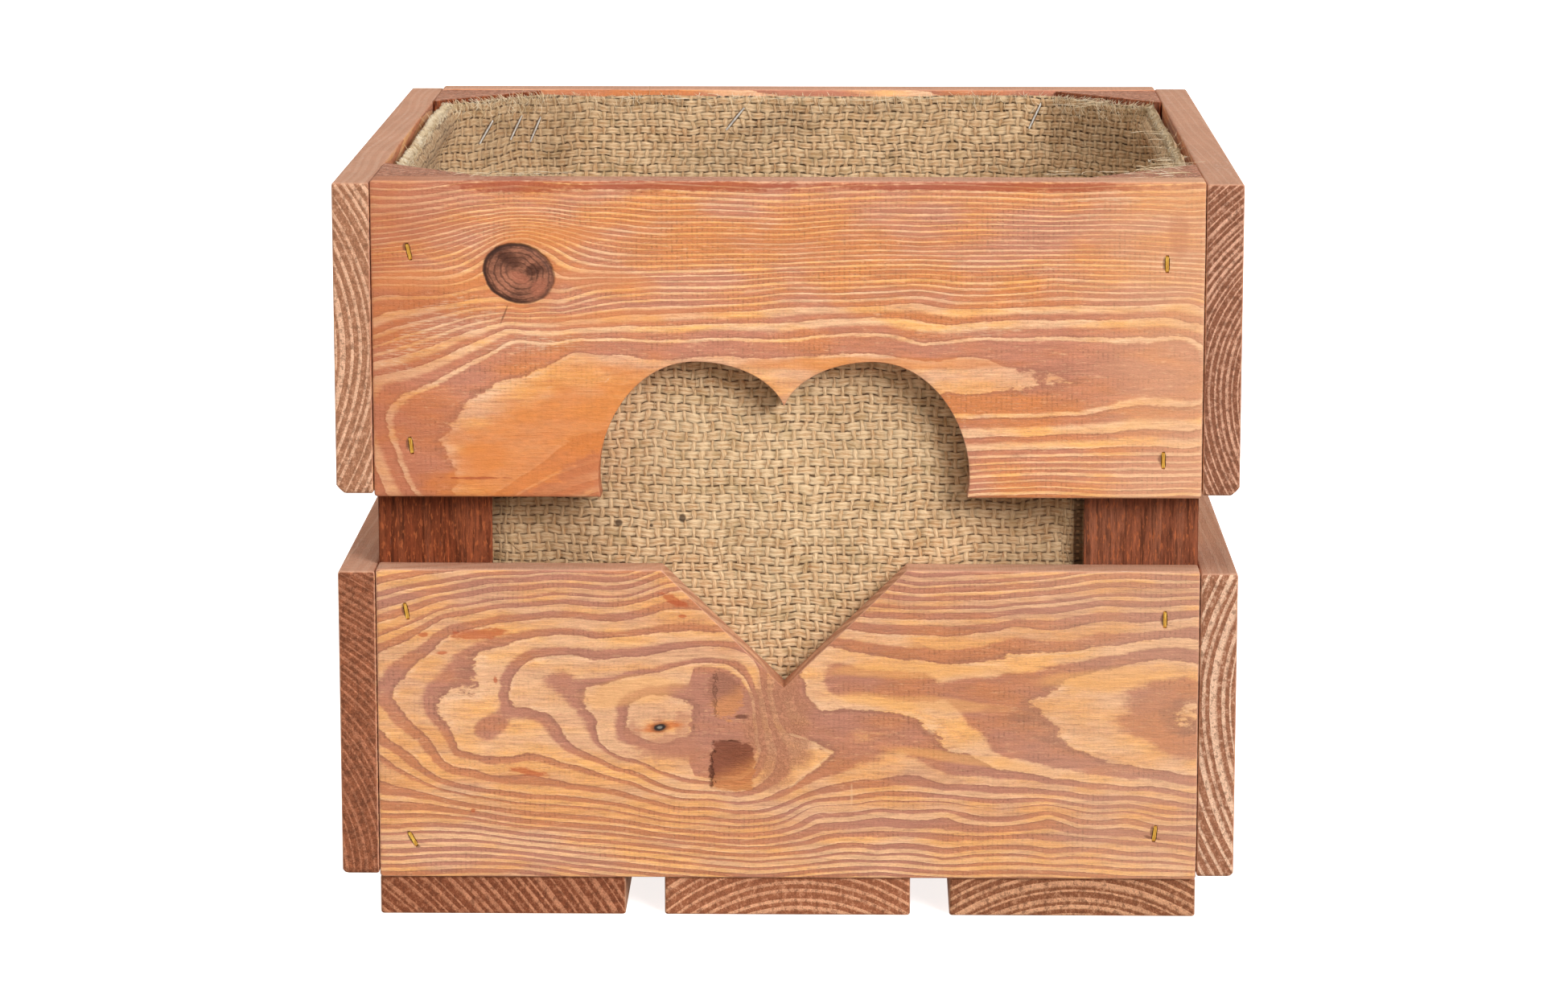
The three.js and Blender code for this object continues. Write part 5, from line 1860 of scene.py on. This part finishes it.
class CRATE_OT_slats(bpy.types.Operator):
    """Make the three floor slats."""

    bl_idname = "crate.slats"
    bl_label = "Floor slats"

    def execute(self, context):
        settings = context.scene.crate_wood
        ends = (
            (1, -260.0, -120.0, 3.2, paint(136, 74, 46), paint(206, 140, 104)),
            (2, 5.0, -60.0, 3.4, paint(164, 98, 66), paint(238, 176, 136)),
            (3, 110.0, -70.0, 3.2, paint(146, 88, 58), paint(228, 170, 130)),
        )
        for number, x, z, pitch, dark, pale in ends:
            look = WoodLook(
                tuple(settings.slat), paint(190, 124, 84), paint(220, 168, 120), paint(226, 160, 104),
                paint(190, 138, 108), dark, pale, uneven=0.6, mottle=1.3,
            )
            material = wood(f"slat_{number}_pine", "y", 20.0 + number, look)
            make_slat(number, rings_round(x, z, pitch, 0.01, 0.4, 40 + number), material)
        return {"FINISHED"}


class CRATE_OT_lining(bpy.types.Operator):
    """Make the jute lining and its loose fibres."""

    bl_idname = "crate.lining"
    bl_label = "Jute lining"

    def execute(self, context):
        settings = context.scene.crate_lining
        bag, walls = make_lining(jute())
        threads = fibre_material("jute_fibre", paint(196, 158, 112), paint(240, 216, 176))
        fuzz = strands_object("jute_fibres", cloth_fibres(walls, settings.fibres, 4), threads)
        # The rim's threads get a paler copy of the fibre colours, as painted light on the fringe that the
        # lamps leave in shade
        fringe_painted_light = fibre_material("jute_fringe_painted_light", paint(222, 196, 154), paint(252, 240, 214))
        loose_ends = rim_fringe(walls, settings.fringe, 9) + stray_fibres(settings.strays, 12)
        fringe = strands_object("jute_fringe", loose_ends, fringe_painted_light)
        return {"FINISHED"}


class CRATE_OT_staples(bpy.types.Operator):
    """Finish the brass staples of the boards and the steel ones of the lining."""

    bl_idname = "crate.staples"
    bl_label = "Staples"

    def execute(self, context):
        brass = wire("brass_wire", paint(255, 212, 96), paint(206, 144, 50), 0.4)
        steel = wire("steel_wire", paint(252, 250, 244), paint(206, 202, 196), 0.4)
        for name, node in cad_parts.items():
            if not name.endswith("_staple") and not name.startswith("lining_staple"):
                continue
            node.data.materials.clear()
            node.data.materials.append(steel if name.startswith("lining_staple") else brass)
            bevel = node.modifiers.new("rounded wire", "BEVEL")
            bevel.width = WIRE_ROUNDING * MM
            bevel.segments = 2
            bevel.limit_method = "ANGLE"
            bevel.angle_limit = math.radians(40)
        return {"FINISHED"}


class CRATE_OT_stage(bpy.types.Operator):
    """Make the floor, the lights and the camera."""

    bl_idname = "crate.stage"
    bl_label = "Stage"

    def execute(self, context):
        settings = context.scene.crate_stage
        make_floor(tuple(settings.floor), settings.glow)
        make_light("key_light", settings.key, KEY_ANGLE, KEY_TOWARD)
        make_light("top_light", TOP_STRENGTH, TOP_ANGLE, TOP_TOWARD)
        world = bpy.data.worlds.new("studio")
        world.use_nodes = True
        sky = world.node_tree.nodes["Background"].inputs
        sky["Color"].default_value = WARM_WHITE
        sky["Strength"].default_value = settings.fill
        context.scene.world = world
        context.scene.view_settings.view_transform = "Standard"
        make_camera()
        return {"FINISHED"}


class CRATE_PT_panel(bpy.types.Panel):
    """Lists the crate's pieces and their settings."""

    bl_idname = "CRATE_PT_panel"
    bl_label = "Crate with Heart"
    bl_space_type = "VIEW_3D"
    bl_region_type = "UI"
    bl_category = "Crate"

    def draw(self, context):
        layout = self.layout
        for group in ("crate_wood", "crate_lining", "crate_stage"):
            settings = getattr(context.scene, group)
            box = layout.box()
            for name in settings.__annotations__:
                box.prop(settings, name)
        for operator in OPERATORS:
            layout.operator(operator.bl_idname)


OPERATORS = (
    CRATE_OT_stage,
    CRATE_OT_lining,
    CRATE_OT_front_boards,
    CRATE_OT_back_boards,
    CRATE_OT_side_boards,
    CRATE_OT_posts,
    CRATE_OT_slats,
    CRATE_OT_staples,
)
SETTINGS = (CrateWoodSettings, CrateLiningSettings, CrateStageSettings)


def register():
    for item in SETTINGS + OPERATORS + (CRATE_PT_panel,):
        bpy.utils.register_class(item)
    bpy.types.Scene.crate_wood = bpy.props.PointerProperty(type=CrateWoodSettings)
    bpy.types.Scene.crate_lining = bpy.props.PointerProperty(type=CrateLiningSettings)
    bpy.types.Scene.crate_stage = bpy.props.PointerProperty(type=CrateStageSettings)


def unregister():
    del bpy.types.Scene.crate_wood
    del bpy.types.Scene.crate_lining
    del bpy.types.Scene.crate_stage
    for item in reversed(SETTINGS + OPERATORS + (CRATE_PT_panel,)):
        bpy.utils.unregister_class(item)


def main():
    """Makes the whole crate."""
    register()
    bpy.ops.crate.stage()
    bpy.ops.crate.lining()
    bpy.ops.crate.front_boards()
    bpy.ops.crate.back_boards()
    bpy.ops.crate.side_boards()
    bpy.ops.crate.posts()
    bpy.ops.crate.slats()
    bpy.ops.crate.staples()


if __name__ == "__main__":
    main()
